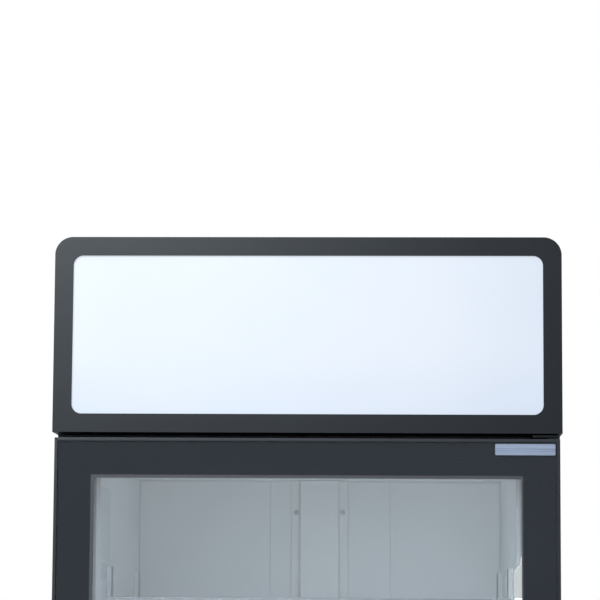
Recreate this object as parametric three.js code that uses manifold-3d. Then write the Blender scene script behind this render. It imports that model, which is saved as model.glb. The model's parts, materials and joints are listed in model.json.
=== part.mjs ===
// Upright one-door glass merchandiser with a light-box canopy, a self-closing door and a bottom-mounted
// refrigeration unit. Millimetres, +Z up, front towards -Y. The origin is on the floor, under the middle
// of the overall box. Left and right are as a customer in front of the door sees them.
import * as THREE from "three";
import { mergeVertices } from "three/addons/utils/BufferGeometryUtils.js";
import Module from "manifold-3d";

const wasm = await Module();
wasm.setup();

// ---- Driving dimensions ----------------------------------------------------------------------------
const WIDTH = 620; // over the side panels and over the canopy
const HEIGHT = 1985; // floor to the top of the canopy
const CASE_DEPTH = 610; // face of the door to the rear panel
const HANDLE_REACH = 38; // how far the handle stands in front of the door
const DOOR_THICKNESS = 46;
const SEAL_SPACE = 10; // the gasket's space between the door and the collar
const SKIN = 1.2; // sheet steel
const GAP = 0.3; // clearance between pieces that touch
const BASE_Z = 40; // underside of the base tray
const COMPARTMENT_TOP = 326; // ceiling of the machine compartment
const BODY_TOP = 1975;
const CANOPY_BOTTOM = 1745;
const DOOR_BOTTOM = 332;
const DOOR_TOP = 1738.5;
const DOOR_WIDTH = 614;
const DOOR_BORDER = 45; // edge of the door to the edge of its clear window
const INNER_WIDTH = 512; // storage space between the side walls
const INNER_FLOOR = 372;
const INNER_CEILING = 1716;
const LIP_Z = 1693; // lower edge of the header lip above the storage space
const REAR_WALL = 50;
const SHELF_TOPS = [1547, 1249, 951, 653];

// ---- Places worked out from them -------------------------------------------------------------------
const HALF = WIDTH / 2;
const FRONT = HANDLE_REACH - (CASE_DEPTH + HANDLE_REACH) / 2;
const REAR = FRONT + CASE_DEPTH;
const BODY_FRONT = FRONT + DOOR_THICKNESS + SEAL_SPACE;
const SHELL_HALF = HALF - SKIN - GAP;
const INNER_HALF = INNER_WIDTH / 2;
const INNER_BACK = REAR - REAR_WALL;
const DOOR_HALF = DOOR_WIDTH / 2;
const PIVOT = { x: DOOR_HALF - 8.5, y: FRONT + 20 };

// ---- Materials -------------------------------------------------------------------------------------
const material = (color, roughness, metalness = 0, extra = {}) =>
  new THREE.MeshStandardMaterial({ color, roughness, metalness, ...extra });
const MATERIAL = {
  blackPaint: material(0x2b2f34, 0.45),
  canopyPaint: material(0x3a4046, 0.42),
  doorBlack: material(0x1d2024, 0.35),
  innerGrey: material(0x9aa4ab, 0.4),
  wallSheet: material(0xa9b4bb, 0.35),
  foam: material(0xd9c98f, 0.9),
  glass: material(0xdfeaf0, 0.05, 0, { transparent: true, opacity: 0.25 }),
  opal: material(0xeef5fc, 0.3, 0, { emissive: 0xdfeaf8 }),
  rubber: material(0x17181a, 0.8),
  plasticGrey: material(0xc8cccb, 0.45),
  plasticBlack: material(0x1a1b1d, 0.5),
  zinc: material(0x9fa4a8, 0.35, 0.9),
  aluminium: material(0xb9bdc1, 0.35, 0.9),
  copper: material(0xb8693c, 0.3, 0.9),
  wire: material(0xd5d8da, 0.35, 0.2),
  board: material(0xe8ebee, 0.5),
};

// ---- Shape helpers ---------------------------------------------------------------------------------
// A closed three.js geometry as a manifold solid, with coincident vertices merged.
function solidOf(geometry) {
  const bare = new THREE.BufferGeometry().setAttribute("position", geometry.getAttribute("position").clone());
  if (geometry.index) bare.setIndex(geometry.index.clone());
  const merged = mergeVertices(bare, 1e-4);
  const corners = merged.index.array;
  const kept = [];
  for (let i = 0; i < corners.length; i += 3) {
    const [a, b, c] = [corners[i], corners[i + 1], corners[i + 2]];
    if (a !== b && b !== c && c !== a) kept.push(a, b, c);
  }
  return new wasm.Manifold(
    new wasm.Mesh({
      numProp: 3,
      vertProperties: merged.attributes.position.array,
      triVerts: new Uint32Array(kept),
    }),
  );
}

function geometryOf(solid) {
  const mesh = solid.getMesh();
  const positions = new Float32Array(mesh.numVert * 3);
  for (let i = 0; i < mesh.numVert; i++) {
    positions.set(mesh.vertProperties.subarray(i * mesh.numProp, i * mesh.numProp + 3), i * 3);
  }
  return new THREE.BufferGeometry()
    .setAttribute("position", new THREE.BufferAttribute(positions, 3))
    .setIndex(new THREE.BufferAttribute(mesh.triVerts, 1));
}

const join = (...pieces) =>
  geometryOf(pieces.map(solidOf).reduce((sum, piece) => sum.add(piece)));

const cut = (body, ...tools) =>
  geometryOf(tools.map(solidOf).reduce((rest, tool) => rest.subtract(tool), solidOf(body)));

const common = (a, b) => geometryOf(solidOf(a).intersect(solidOf(b)));

// A box from its range on each axis.
function box([x0, x1], [y0, y1], [z0, z1]) {
  return new THREE.BoxGeometry(x1 - x0, y1 - y0, z1 - z0).translate(
    (x0 + x1) / 2,
    (y0 + y1) / 2,
    (z0 + z1) / 2,
  );
}

// A bar centred on x = 0.
const slab = (half, y, z) => box([-half, half], y, z);

const TO_AXIS = {
  x: new THREE.Matrix4().makeBasis(
    new THREE.Vector3(0, 1, 0),
    new THREE.Vector3(0, 0, 1),
    new THREE.Vector3(1, 0, 0),
  ),
  y: new THREE.Matrix4().makeBasis(
    new THREE.Vector3(1, 0, 0),
    new THREE.Vector3(0, 0, 1),
    new THREE.Vector3(0, -1, 0),
  ),
  z: new THREE.Matrix4(),
};

// An outline carried along an axis from one place to another. The outline is in (y, z) along x,
// (x, z) along y and (x, y) along z.
function prism(axis, outline, from, to, curveSegments = 8) {
  const shape = Array.isArray(outline)
    ? new THREE.Shape(outline.map(([a, b]) => new THREE.Vector2(a, b)))
    : outline;
  const solid = new THREE.ExtrudeGeometry(shape, { depth: to - from, bevelEnabled: false, curveSegments });
  solid.applyMatrix4(TO_AXIS[axis]);
  const start = axis === "y" ? to : from;
  return solid.translate(axis === "x" ? start : 0, axis === "y" ? start : 0, axis === "z" ? start : 0);
}

// A rod along an axis, centred on the other two coordinates.
function rod(axis, radius, from, to, [x, y, z], sides = 24) {
  const solid = new THREE.CylinderGeometry(radius, radius, to - from, sides);
  if (axis === "x") solid.rotateZ(Math.PI / 2);
  if (axis === "z") solid.rotateX(Math.PI / 2);
  const middle = (from + to) / 2;
  return solid.translate(axis === "x" ? middle : x, axis === "y" ? middle : y, axis === "z" ? middle : z);
}

// A round body about a vertical line, from (radius, height) pairs that start and end on the axis.
function turned(profile, x, y, sides = 28) {
  const points = profile.map(([r, z]) => new THREE.Vector2(r, z));
  return new THREE.LatheGeometry(points, sides).rotateX(Math.PI / 2).translate(x, y, 0);
}

// A round pipe along a smooth curve.
function pipe(points, radius, steps, sides = 8) {
  const path = new THREE.CatmullRomCurve3(points.map((p) => new THREE.Vector3(...p)), false, "centripetal");
  const section = new THREE.Shape(
    Array.from({ length: sides }, (_, i) => {
      const angle = (2 * Math.PI * i) / sides;
      return new THREE.Vector2(radius * Math.cos(angle), radius * Math.sin(angle));
    }),
  );
  return new THREE.ExtrudeGeometry(section, { steps, extrudePath: path, bevelEnabled: false });
}

// A rectangle with a corner radius at the top and another at the bottom.
function roundedOutline([x0, x1], [z0, z1], top, bottom = top) {
  const shape = new THREE.Shape();
  shape.moveTo(x0 + bottom, z0);
  shape.lineTo(x1 - bottom, z0);
  if (bottom > 0) shape.absarc(x1 - bottom, z0 + bottom, bottom, -Math.PI / 2, 0);
  shape.lineTo(x1, z1 - top);
  shape.absarc(x1 - top, z1 - top, top, 0, Math.PI / 2);
  shape.lineTo(x0 + top, z1);
  shape.absarc(x0 + top, z1 - top, top, Math.PI / 2, Math.PI);
  shape.lineTo(x0, z0 + bottom);
  if (bottom > 0) shape.absarc(x0 + bottom, z0 + bottom, bottom, Math.PI, 1.5 * Math.PI);
  return shape;
}

// A rectangular ring in the plane of the door, from its outer and inner half widths and heights.
function ring(outerHalf, [z0, z1], innerHalf, [y0, y1], rim = outerHalf - innerHalf) {
  return cut(
    slab(outerHalf, [y0, y1], [z0, z1]),
    slab(innerHalf, [y0 - 1, y1 + 1], [z0 + rim, z1 - rim]),
  );
}

const model = new THREE.Group();

function add(name, geometry, finish) {
  const mesh = new THREE.Mesh(geometry, finish);
  mesh.name = name;
  model.add(mesh);
}

// ---- Insulated body --------------------------------------------------------------------------------
const COLLAR_THICKNESS = 2;
const COLLAR_OPENING = { half: DOOR_HALF - DOOR_BORDER - 2, z: [374, LIP_Z] };
const LINER = 1.5; // liner sheet
const HEADER_BACK = BODY_FRONT + 40; // rear of the insulated header behind the canopy
const CHAMBER_TOP = 1923; // evaporator chamber above the storage space

function insulatedBody() {
  for (const [name, side] of [["left_side_panel", -1], ["right_side_panel", 1]]) {
    const x = [side * HALF, side * (HALF - SKIN)].sort((a, b) => a - b);
    add(name, box(x, [BODY_FRONT, REAR], [BASE_Z, BODY_TOP]), MATERIAL.blackPaint);
  }
  add("top_panel", slab(SHELL_HALF, [BODY_FRONT, REAR], [BODY_TOP - SKIN, BODY_TOP]), MATERIAL.blackPaint);
  add(
    "rear_panel",
    slab(SHELL_HALF, [REAR - SKIN, REAR], [COMPARTMENT_TOP, BODY_TOP - SKIN - GAP]),
    MATERIAL.blackPaint,
  );
  const collarBack = BODY_FRONT + COLLAR_THICKNESS;
  add(
    "front_collar",
    cut(
      slab(SHELL_HALF, [BODY_FRONT, collarBack], [COMPARTMENT_TOP, BODY_TOP - SKIN - GAP]),
      slab(COLLAR_OPENING.half, [BODY_FRONT - 1, collarBack + 1], COLLAR_OPENING.z),
    ),
    MATERIAL.innerGrey,
  );

  // The storage space and the evaporator chamber above it, grown by a clearance on every wall.
  const cavity = (grow, front) =>
    join(
      slab(INNER_HALF + grow, [front, INNER_BACK + grow], [INNER_FLOOR - grow, LIP_Z + grow]),
      slab(INNER_HALF + grow, [HEADER_BACK - grow, INNER_BACK + grow], [LIP_Z - 50, CHAMBER_TOP + grow]),
    );
  const flangeFront = collarBack + GAP;
  const flange = slab(
    COLLAR_OPENING.half + 10,
    [flangeFront, flangeFront + LINER],
    [COLLAR_OPENING.z[0] - 12, COLLAR_OPENING.z[1] + 10],
  );
  add(
    "inner_liner",
    cut(join(cavity(LINER, flangeFront), flange), cavity(0, BODY_FRONT - 5)),
    MATERIAL.wallSheet,
  );
  const foamFront = flangeFront + LINER + GAP;
  add(
    "foam_insulation",
    cut(
      slab(SHELL_HALF - GAP, [foamFront, REAR - SKIN - GAP], [COMPARTMENT_TOP + 1, BODY_TOP - SKIN - GAP]),
      cavity(LINER + GAP, BODY_FRONT - 5),
    ),
    MATERIAL.foam,
  );
}

// ---- Fans ------------------------------------------------------------------------------------------
const BLADE = { root: 4, overrun: 5, halfThickness: 1, pitch: 0.5 }; // root: how deep a blade sits in the hub

// Blades pitched about their own spans round a hub, spinning about z at the origin. Each blade is made
// overlong and then trimmed to the circle that the tips sweep.
function propeller(blades, tipRadius, hubRadius, thickness, pitch, chord) {
  const hub = rod("z", hubRadius, -thickness / 2, thickness / 2, [0, 0, 0], 20);
  const swept = rod("z", tipRadius, -thickness / 2, thickness / 2, [0, 0, 0], 32);
  const paddles = Array.from({ length: blades }, (_, i) => {
    const blade = box(
      [hubRadius - BLADE.root, tipRadius + BLADE.overrun],
      [-chord / 2, chord / 2],
      [-BLADE.halfThickness, BLADE.halfThickness],
    );
    return common(blade.rotateX(pitch).rotateZ((2 * Math.PI * i) / blades), swept);
  });
  return join(hub, ...paddles);
}

// ---- Finned coils ----------------------------------------------------------------------------------
const COIL = { inset: 12, fin: 3, rows: 3, tube: 4, bendReach: 16 };

// Fins across the tubes, the tube bank between them and return bends at both ends.
function finnedCoil([x0, x1], [y0, y1], [z0, z1], fins) {
  const { inset, fin, rows, tube, bendReach } = COIL;
  const core = box([x0, x1], [y0 + inset, y1 - inset], [z0 + inset, z1 - inset]);
  const pitch = (x1 - x0 - fin) / (fins - 1);
  const plates = Array.from({ length: fins }, (_, i) => {
    const x = x0 + i * pitch;
    return box([x, x + fin], [y0, y1], [z0, z1]);
  });
  const nearY = y0 + inset + 2 * tube;
  const farY = y1 - inset - 2 * tube;
  const rise = (z1 - z0 - 2 * inset) / rows;
  const bends = [];
  for (let row = 0; row < rows; row++) {
    const z = z0 + inset + rise * (row + 0.5);
    for (const [x, out] of [[x0, -1], [x1, 1]]) {
      const inside = x - out * 6;
      bends.push(
        pipe(
          [
            [inside, nearY, z],
            [x + (out * bendReach) / 2, nearY, z],
            [x + out * bendReach, (y0 + y1) / 2, z],
            [x + (out * bendReach) / 2, farY, z],
            [inside, farY, z],
          ],
          tube,
          10,
          6,
        ),
      );
    }
  }
  return join(core, ...plates, ...bends);
}

// ---- Evaporator chamber ----------------------------------------------------------------------------
const EVAPORATOR_FAN = {
  x: 0,
  y: -95,
  size: 150,
  bottom: INNER_CEILING + 2.3,
  height: 38,
  bore: 69,
  hub: 25,
  motor: { radius: 26, depth: 12 },
  arm: 4,
};
const DRIP_TRAY = { floor: 2, rim: 18, wall: 2, front: HEADER_BACK + 2, back: INNER_BACK - 0.5 };
const RETURNS = { count: 9, pitch: 50, half: 18, y: [228, 244] }; // slots that let cold air down the wall
const EVAPORATOR_COIL = { x: [-215, 215], y: [30, 190], z: [1745, 1875], fins: 16 };

function evaporatorChamber() {
  const fan = EVAPORATOR_FAN;
  const { floor, rim, wall, front, back } = DRIP_TRAY;
  const half = INNER_HALF - 0.5;
  const through = [INNER_CEILING - 1, INNER_CEILING + floor + 1];
  const tray = join(
    slab(half, [front, back], [INNER_CEILING, INNER_CEILING + floor]),
    cut(
      slab(half, [front, back], [INNER_CEILING + 1, INNER_CEILING + rim]),
      slab(half - wall, [front + wall, back - wall], [INNER_CEILING, INNER_CEILING + rim + 1]),
    ),
  );
  const returns = Array.from({ length: RETURNS.count }, (_, i) => {
    const x = (i - (RETURNS.count - 1) / 2) * RETURNS.pitch;
    return box([x - RETURNS.half, x + RETURNS.half], RETURNS.y, through);
  });
  add(
    "ceiling_drip_tray",
    cut(tray, rod("z", fan.bore, ...through, [fan.x, fan.y, 0], 32), ...returns),
    MATERIAL.wallSheet,
  );

  const side = fan.size / 2;
  const top = fan.bottom + fan.height;
  const frame = cut(
    box([fan.x - side, fan.x + side], [fan.y - side, fan.y + side], [fan.bottom, top]),
    rod("z", fan.bore, fan.bottom - 1, top + 1, [fan.x, fan.y, 0], 32),
  );
  const arms = [0, 1].map((i) =>
    slab(fan.bore + 3, [-fan.arm, fan.arm], [top - fan.arm, top])
      .rotateZ(Math.PI / 4 + (i * Math.PI) / 2)
      .translate(fan.x, fan.y, 0),
  );
  const motor = rod("z", fan.motor.radius, top - fan.motor.depth, top, [fan.x, fan.y, 0], 20);
  add("evaporator_fan_motor", join(frame, ...arms, motor), MATERIAL.plasticBlack);
  add(
    "evaporator_fan_blade",
    propeller(7, fan.bore - 3, fan.hub, 20, BLADE.pitch, 34).translate(fan.x, fan.y, fan.bottom + 13),
    MATERIAL.plasticBlack,
  );
  const coil = EVAPORATOR_COIL;
  add("evaporator_coil", finnedCoil(coil.x, coil.y, coil.z, coil.fins), MATERIAL.aluminium);
}

// ---- Fittings in the storage space -----------------------------------------------------------------
const DUCT = { half: 39.5, raised: 26.5, depth: 13, sheet: 1.2, z: [380, 1706] };
const RAIL = {
  width: 22,
  depth: 7.5,
  web: 1.5,
  flange: 5,
  z: [420, 1585],
  y: [BODY_FRONT + 94, INNER_BACK - 60],
  clip: { width: 20, reach: 9, height: 5 },
};
const SHELF = {
  half: 247,
  front: FRONT + 95,
  back: INNER_BACK - 22,
  deckBelowTop: 4,
  deck: 6,
  rim: 8,
  wires: 17,
  wire: 6,
  ticketHalf: 251,
  ticketHeight: 38,
  ticketDepth: 4,
};

function ductCover() {
  const { half, raised, depth, sheet, z } = DUCT;
  const wall = INNER_BACK - GAP;
  const face = wall - depth;
  const outline = [
    [-half, wall],
    [-half, wall - sheet],
    [-raised - 2, wall - sheet],
    [-raised, face],
    [raised, face],
    [raised + 2, wall - sheet],
    [half, wall - sheet],
    [half, wall],
    [raised + 1, wall],
    [raised - 1.2, face + sheet],
    [-raised + 1.2, face + sheet],
    [-raised - 1, wall],
  ];
  add("rear_duct_cover", prism("z", outline, z[0], z[1]), MATERIAL.wallSheet);
}

// Four slotted rails, each with a clip under every shelf.
function shelfRails() {
  const { width, depth, web, flange, z, clip } = RAIL;
  const wall = INNER_HALF - GAP;
  for (const [side, sign] of [["left", -1], ["right", 1]]) {
    RAIL.y.forEach((y, i) => {
      const u = [
        [wall, y - width / 2],
        [wall, y + width / 2],
        [wall - depth, y + width / 2],
        [wall - depth, y + width / 2 - flange],
        [wall - web, y + width / 2 - flange],
        [wall - web, y - width / 2 + flange],
        [wall - depth, y - width / 2 + flange],
        [wall - depth, y - width / 2],
      ].map(([x, along]) => [sign * x, along]);
      const clipX = [sign * (wall - 2 * web), sign * (wall - depth - clip.reach)].sort((a, b) => a - b);
      const clips = SHELF_TOPS.map((top) => {
        const rest = top - SHELF.deckBelowTop - SHELF.deck - GAP;
        return box(clipX, [y - clip.width / 2, y + clip.width / 2], [rest - clip.height, rest]);
      });
      const channel = prism("z", sign > 0 ? u : u.reverse(), z[0], z[1]);
      const name = `shelf_rail_${side}_${i === 0 ? "front" : "rear"}`;
      add(name, join(channel, ...clips), MATERIAL.wire);
    });
  }
}

// A deck of wires inside a rim, with the ticket strip along its front edge.
function shelf(top) {
  const s = SHELF;
  const deckTop = top - s.deckBelowTop;
  const deck = slab(s.half, [s.front, s.back], [deckTop - s.deck, deckTop]);
  const pitch = (2 * s.half - s.rim) / s.wires;
  const slots = Array.from({ length: s.wires }, (_, i) => {
    const x = -s.half + s.rim + i * pitch;
    const through = [deckTop - s.deck - 1, deckTop + 1];
    return box([x, x + pitch - s.wire], [s.front + s.rim, s.back - s.rim], through);
  });
  const ticket = slab(
    s.ticketHalf,
    [s.front - s.ticketDepth, s.front + 0.5],
    [top - s.ticketHeight, top],
  );
  return join(cut(deck, ...slots), ticket);
}

// ---- Lamp beside the door opening ------------------------------------------------------------------
const LAMP = {
  x: [252.6, 264.3],
  y: [FRONT + 49, BODY_FRONT - GAP],
  lit: [470, 1548],
  cap: { shoulder: 32, tabStart: 40, tip: 49.5, tab: 3.7 },
  web: 0.6, // how far the mounting channel stands back from the edge of the caps
  channel: 25, // depth of that channel into the storage space
};

function lamp() {
  const { x, y, lit, web, channel } = LAMP;
  const { shoulder, tabStart, tip, tab } = LAMP.cap;
  const backing = COLLAR_OPENING.half - GAP;
  const channelZ = [lit[0] - 30, lit[1] + 30];
  // An end cap in (x, z): a square block, a chamfer and a narrow tab at its tip.
  const cap = (start, out) => [
    [x[0], start],
    [x[1], start],
    [x[1], start + out * tip],
    [x[1] - tab, start + out * tip],
    [x[1] - tab, start + out * tabStart],
    [x[0], start + out * shoulder],
  ];
  const body = join(
    box([x[0] + web, INNER_HALF - GAP], [BODY_FRONT - 1, BODY_FRONT + channel], channelZ),
    box([x[0] + web, backing], [BODY_FRONT - GAP, BODY_FRONT + COLLAR_THICKNESS], channelZ),
    prism("y", cap(lit[1] + GAP, 1), y[0], y[1]),
    prism("y", cap(lit[0] - GAP, -1).reverse(), y[0], y[1]),
    box([x[0] + web, backing], [y[0] + 2, BODY_FRONT + 1], [lit[1] + GAP, lit[1] + 28]),
    box([x[0] + web, backing], [y[0] + 2, BODY_FRONT + 1], [lit[0] - 28, lit[0] - GAP]),
  );
  const room = box([x[0] - 1, x[1] + 1], [y[0] - 1, BODY_FRONT - GAP], [lit[0] - GAP, lit[1] + GAP]);
  add("lamp_housing", cut(body, room), MATERIAL.plasticGrey);
  add("lamp_diffuser", box([x[0] + 0.8, x[1]], [y[0] + 0.2, BODY_FRONT - 2 * GAP], lit), MATERIAL.opal);
}

// ---- Canopy ----------------------------------------------------------------------------------------
const CANOPY = { corner: 22, skirt: 2.5, face: 3, margin: 22.8, windowCorner: 12, panelMargin: 12, panel: 3 };
const LED_STRIP = { half: 270, halfHeight: 6, pitch: 62, y: [FRONT + 40, FRONT + 47] };
const BACK_PLATE = [FRONT + 46, FRONT + 48];

function canopy() {
  const { corner, skirt, face, margin, windowCorner, panelMargin } = CANOPY;
  const back = BODY_FRONT - GAP;
  const outline = (inset) =>
    roundedOutline(
      [-HALF + inset, HALF - inset],
      [CANOPY_BOTTOM + inset, HEIGHT - inset],
      corner - inset,
      0,
    );
  const window = roundedOutline(
    [-HALF + margin, HALF - margin],
    [CANOPY_BOTTOM + margin, HEIGHT - margin],
    windowCorner,
  );
  const hingeNotch = box(
    [UPPER_HINGE.x[0] - 1, UPPER_HINGE.x[1] + 1],
    [BODY_FRONT - 5, BODY_FRONT + 1],
    [CANOPY_BOTTOM - 1, CANOPY_BOTTOM + skirt + 1],
  );
  add(
    "canopy_frame",
    cut(
      prism("y", outline(0), FRONT, back),
      prism("y", outline(skirt), FRONT + face, back + 1),
      prism("y", window, FRONT - 1, FRONT + face + 1),
      hingeNotch,
    ),
    MATERIAL.canopyPaint,
  );
  const panel = roundedOutline(
    [-HALF + panelMargin, HALF - panelMargin],
    [CANOPY_BOTTOM + panelMargin, HEIGHT - panelMargin],
    windowCorner,
  );
  const panelFront = FRONT + face + GAP;
  add("sign_panel", prism("y", panel, panelFront, panelFront + CANOPY.panel), MATERIAL.opal);
  const strips = [-1, 0, 1].map((row) => {
    const z = (CANOPY_BOTTOM + HEIGHT) / 2 + row * LED_STRIP.pitch;
    return slab(LED_STRIP.half, LED_STRIP.y, [z - LED_STRIP.halfHeight, z + LED_STRIP.halfHeight]);
  });
  add(
    "led_tray",
    join(prism("y", outline(skirt + GAP), ...BACK_PLATE), ...strips),
    MATERIAL.board,
  );
}

// ---- Hinges ----------------------------------------------------------------------------------------
const HINGE_PLATE = 3;
const PIN_RADIUS = 4;
const PIN_ENGAGEMENT = 18; // length of a pin below or above its plate
const FLANGE_HEIGHT = { upper: 50, lower: 14 };
const UPPER_HINGE = { x: [274, 306], z: DOOR_TOP + 2.4 };
const LOWER_HINGE = { x: [274, 306], z: DOOR_BOTTOM - 2.4 - HINGE_PLATE };

function hinges() {
  const flangeY = [BODY_FRONT - GAP - HINGE_PLATE, BODY_FRONT - GAP];
  const plateY = [FRONT + 8, BODY_FRONT - GAP];
  const upper = UPPER_HINGE;
  add(
    "upper_hinge",
    join(
      box(upper.x, plateY, [upper.z, upper.z + HINGE_PLATE]),
      box(upper.x, flangeY, [upper.z, upper.z + FLANGE_HEIGHT.upper]),
      rod("z", PIN_RADIUS, upper.z - PIN_ENGAGEMENT, upper.z + 1, [PIVOT.x, PIVOT.y, 0]),
    ),
    MATERIAL.zinc,
  );
  const lower = LOWER_HINGE;
  add(
    "lower_hinge",
    join(
      box(lower.x, plateY, [lower.z, lower.z + HINGE_PLATE]),
      box(lower.x, flangeY, [lower.z, lower.z + FLANGE_HEIGHT.lower]),
      rod("z", PIN_RADIUS, lower.z + 1, lower.z + PIN_ENGAGEMENT + 4, [PIVOT.x, PIVOT.y, 0]),
    ),
    MATERIAL.zinc,
  );
}

// ---- Door ------------------------------------------------------------------------------------------
const MEMBER = 16.5; // width of the frame extrusions
const LIP = 4.2; // the strip of extrusion that shows round the front glass
const GLASS_T = 4;
const CAVITY = 11.7; // between the two panes
const GASKET = { inset: 11.5, inner: 276 };
const HANDLE = { x: [-294, -272], z: [880, 1240], grip: 13, foot: 30 };
const LOCK = { x: -268, z: 304, barrel: 7.7, reach: 40, tongue: [FRONT + 29, FRONT + 33] };
const LOCK_SLOT = box([LOCK.x - 8, LOCK.x + 36], [LOCK.tongue[0] - 2, LOCK.tongue[1] + 2], [315, 347]);

// One mitred frame member in (along, across): a deep hollow section with the thin lip in front of it.
// place() turns an outline point into the door's (x, z).
function frameMember(length, place) {
  const mitre = 0.15;
  const trapezium = (width) =>
    [
      [mitre, 0],
      [length - mitre, 0],
      [length - width - mitre, width],
      [width + mitre, width],
    ].map(([along, across]) => place(along, across));
  const oriented = (points) =>
    THREE.ShapeUtils.area(points.map(([a, b]) => new THREE.Vector2(a, b))) < 0 ? points.reverse() : points;
  return join(
    prism("y", oriented(trapezium(MEMBER)), FRONT + GLASS_T + 1, FRONT + DOOR_THICKNESS),
    prism("y", oriented(trapezium(LIP)), FRONT, FRONT + GLASS_T + 2),
  );
}

function door() {
  const height = DOOR_TOP - DOOR_BOTTOM;
  const bores = [
    rod("z", PIN_RADIUS + 0.4, DOOR_TOP - 18, DOOR_TOP + 1, [PIVOT.x, PIVOT.y, 0]),
    rod("z", PIN_RADIUS + 0.4, DOOR_BOTTOM - 1, DOOR_BOTTOM + 19, [PIVOT.x, PIVOT.y, 0]),
  ];
  const members = {
    door_stile_left: frameMember(height, (a, b) => [-DOOR_HALF + b, DOOR_BOTTOM + a]),
    door_stile_right: frameMember(height, (a, b) => [DOOR_HALF - b, DOOR_BOTTOM + a]),
    door_rail_top: frameMember(DOOR_WIDTH, (a, b) => [-DOOR_HALF + a, DOOR_TOP - b]),
    door_rail_bottom: cut(
      frameMember(DOOR_WIDTH, (a, b) => [-DOOR_HALF + a, DOOR_BOTTOM + b]),
      LOCK_SLOT,
    ),
  };
  for (const [name, geometry] of Object.entries(members)) {
    add(name, cut(geometry, ...bores), MATERIAL.doorBlack);
  }

  const frontGlass = [FRONT + GAP, FRONT + GAP + GLASS_T];
  const spacer = [frontGlass[1] + GAP, frontGlass[1] + CAVITY];
  const rearGlass = [spacer[1] + GAP, spacer[1] + GAP + GLASS_T];
  const glassHalf = DOOR_HALF - LIP - GAP;
  const unitHalf = DOOR_HALF - MEMBER - GAP;
  const windowHalf = DOOR_HALF - DOOR_BORDER + 0.5;
  const gasketHalf = DOOR_HALF - GASKET.inset;
  const around = (half) => [DOOR_BOTTOM + DOOR_HALF - half, DOOR_TOP - DOOR_HALF + half];
  add("front_glass", slab(glassHalf, frontGlass, around(glassHalf)), MATERIAL.glass);
  add("glass_spacer", ring(windowHalf + 12, around(windowHalf + 12), windowHalf, spacer), MATERIAL.aluminium);
  add("rear_glass", slab(unitHalf, rearGlass, around(unitHalf)), MATERIAL.glass);
  add(
    "door_inner_frame",
    ring(unitHalf, around(unitHalf), windowHalf, [rearGlass[1] + GAP, FRONT + DOOR_THICKNESS]),
    MATERIAL.doorBlack,
  );
  add(
    "door_gasket",
    ring(gasketHalf, around(gasketHalf), GASKET.inner, [FRONT + DOOR_THICKNESS + GAP, BODY_FRONT - GAP]),
    MATERIAL.rubber,
  );
  add("door_handle", handle(), MATERIAL.plasticBlack);
}

// A bow handle in (y, z): two feet on the door and a grip between them, clear of the glass.
function handle() {
  const [x0, x1] = HANDLE.x;
  const [z0, z1] = HANDLE.z;
  const { grip, foot } = HANDLE;
  const outer = new THREE.Shape();
  outer.moveTo(FRONT, z0);
  outer.lineTo(FRONT, z1);
  outer.quadraticCurveTo(FRONT - HANDLE_REACH, z1 - 4, FRONT - HANDLE_REACH, z1 - 42);
  outer.lineTo(FRONT - HANDLE_REACH, z0 + 42);
  outer.quadraticCurveTo(FRONT - HANDLE_REACH, z0 + 4, FRONT, z0);
  const inner = [
    [FRONT + 1, z0 + foot],
    [FRONT - HANDLE_REACH + grip, z0 + foot + 14],
    [FRONT - HANDLE_REACH + grip, z1 - foot - 14],
    [FRONT + 1, z1 - foot],
  ];
  return cut(prism("x", outer, x0, x1, 6), prism("x", inner, x0 - 1, x1 + 1));
}

// ---- Machine compartment ---------------------------------------------------------------------------
const FOOT = { x: 262, y: BODY_FRONT + 32 };
const ROLLER = { x: 262, y: REAR - 52, axle: 18, sides: 24, width: 20, ear: 14 };
const FAN = { x: -105, z: 182, radius: 96, hub: 24, shroudFront: -162, shroudHalf: 150, ringDepth: 24 };
const FAN_MOTOR = { radius: 38, length: 52, behindShroud: 42, arm: 4 };
const CONDENSER = { x: [-250, 40], y: [-218, -170], z: [75, 289], fins: 14 };
const COMPRESSOR = {
  x: 165,
  y: 130,
  shell: [[0, 66], [52, 66], [74, 76], [82, 96], [83, 140], [82, 190], [72, 222], [48, 240], [0, 248]],
  plate: { halfX: 108, halfY: 66, z: [64, 67] },
  grommet: { x: 92, y: 52, radius: 12, top: 70 },
  terminal: { half: 30, front: 108, back: 76, z: [110, 180] },
};
const MELT_TRAY = { x: [-292, -40], y: [120, 296], height: 45, wall: 3 };
const ELECTRICAL_BOX = { x: [-298, -216], y: [-80, 90], z: [BASE_Z + 8, 200] };
const DISCHARGE = {
  radius: 4,
  path: [
    [165, 20, 215],
    [165, -10, 240],
    [150, -60, 262],
    [110, -120, 268],
    [92, -160, 250],
    [88, -190, 232],
    [74, -196, 220],
    [62, -196, 214],
  ],
};
const SUCTION = {
  radius: 5,
  path: [
    [254, 150, 150],
    [276, 160, 170],
    [282, 190, 210],
    [270, 230, 250],
    [262, 246, 285],
    [262, 248, 322],
  ],
};
const GUARD = { y: [REAR - 8, REAR - 6.5], slots: 11, first: 92, pitch: 20, slot: 8, x: 150, half: 115 };
const GLAND = { x: -278, z: 66, body: 8, flange: 12, bore: 3.6 };

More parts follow.
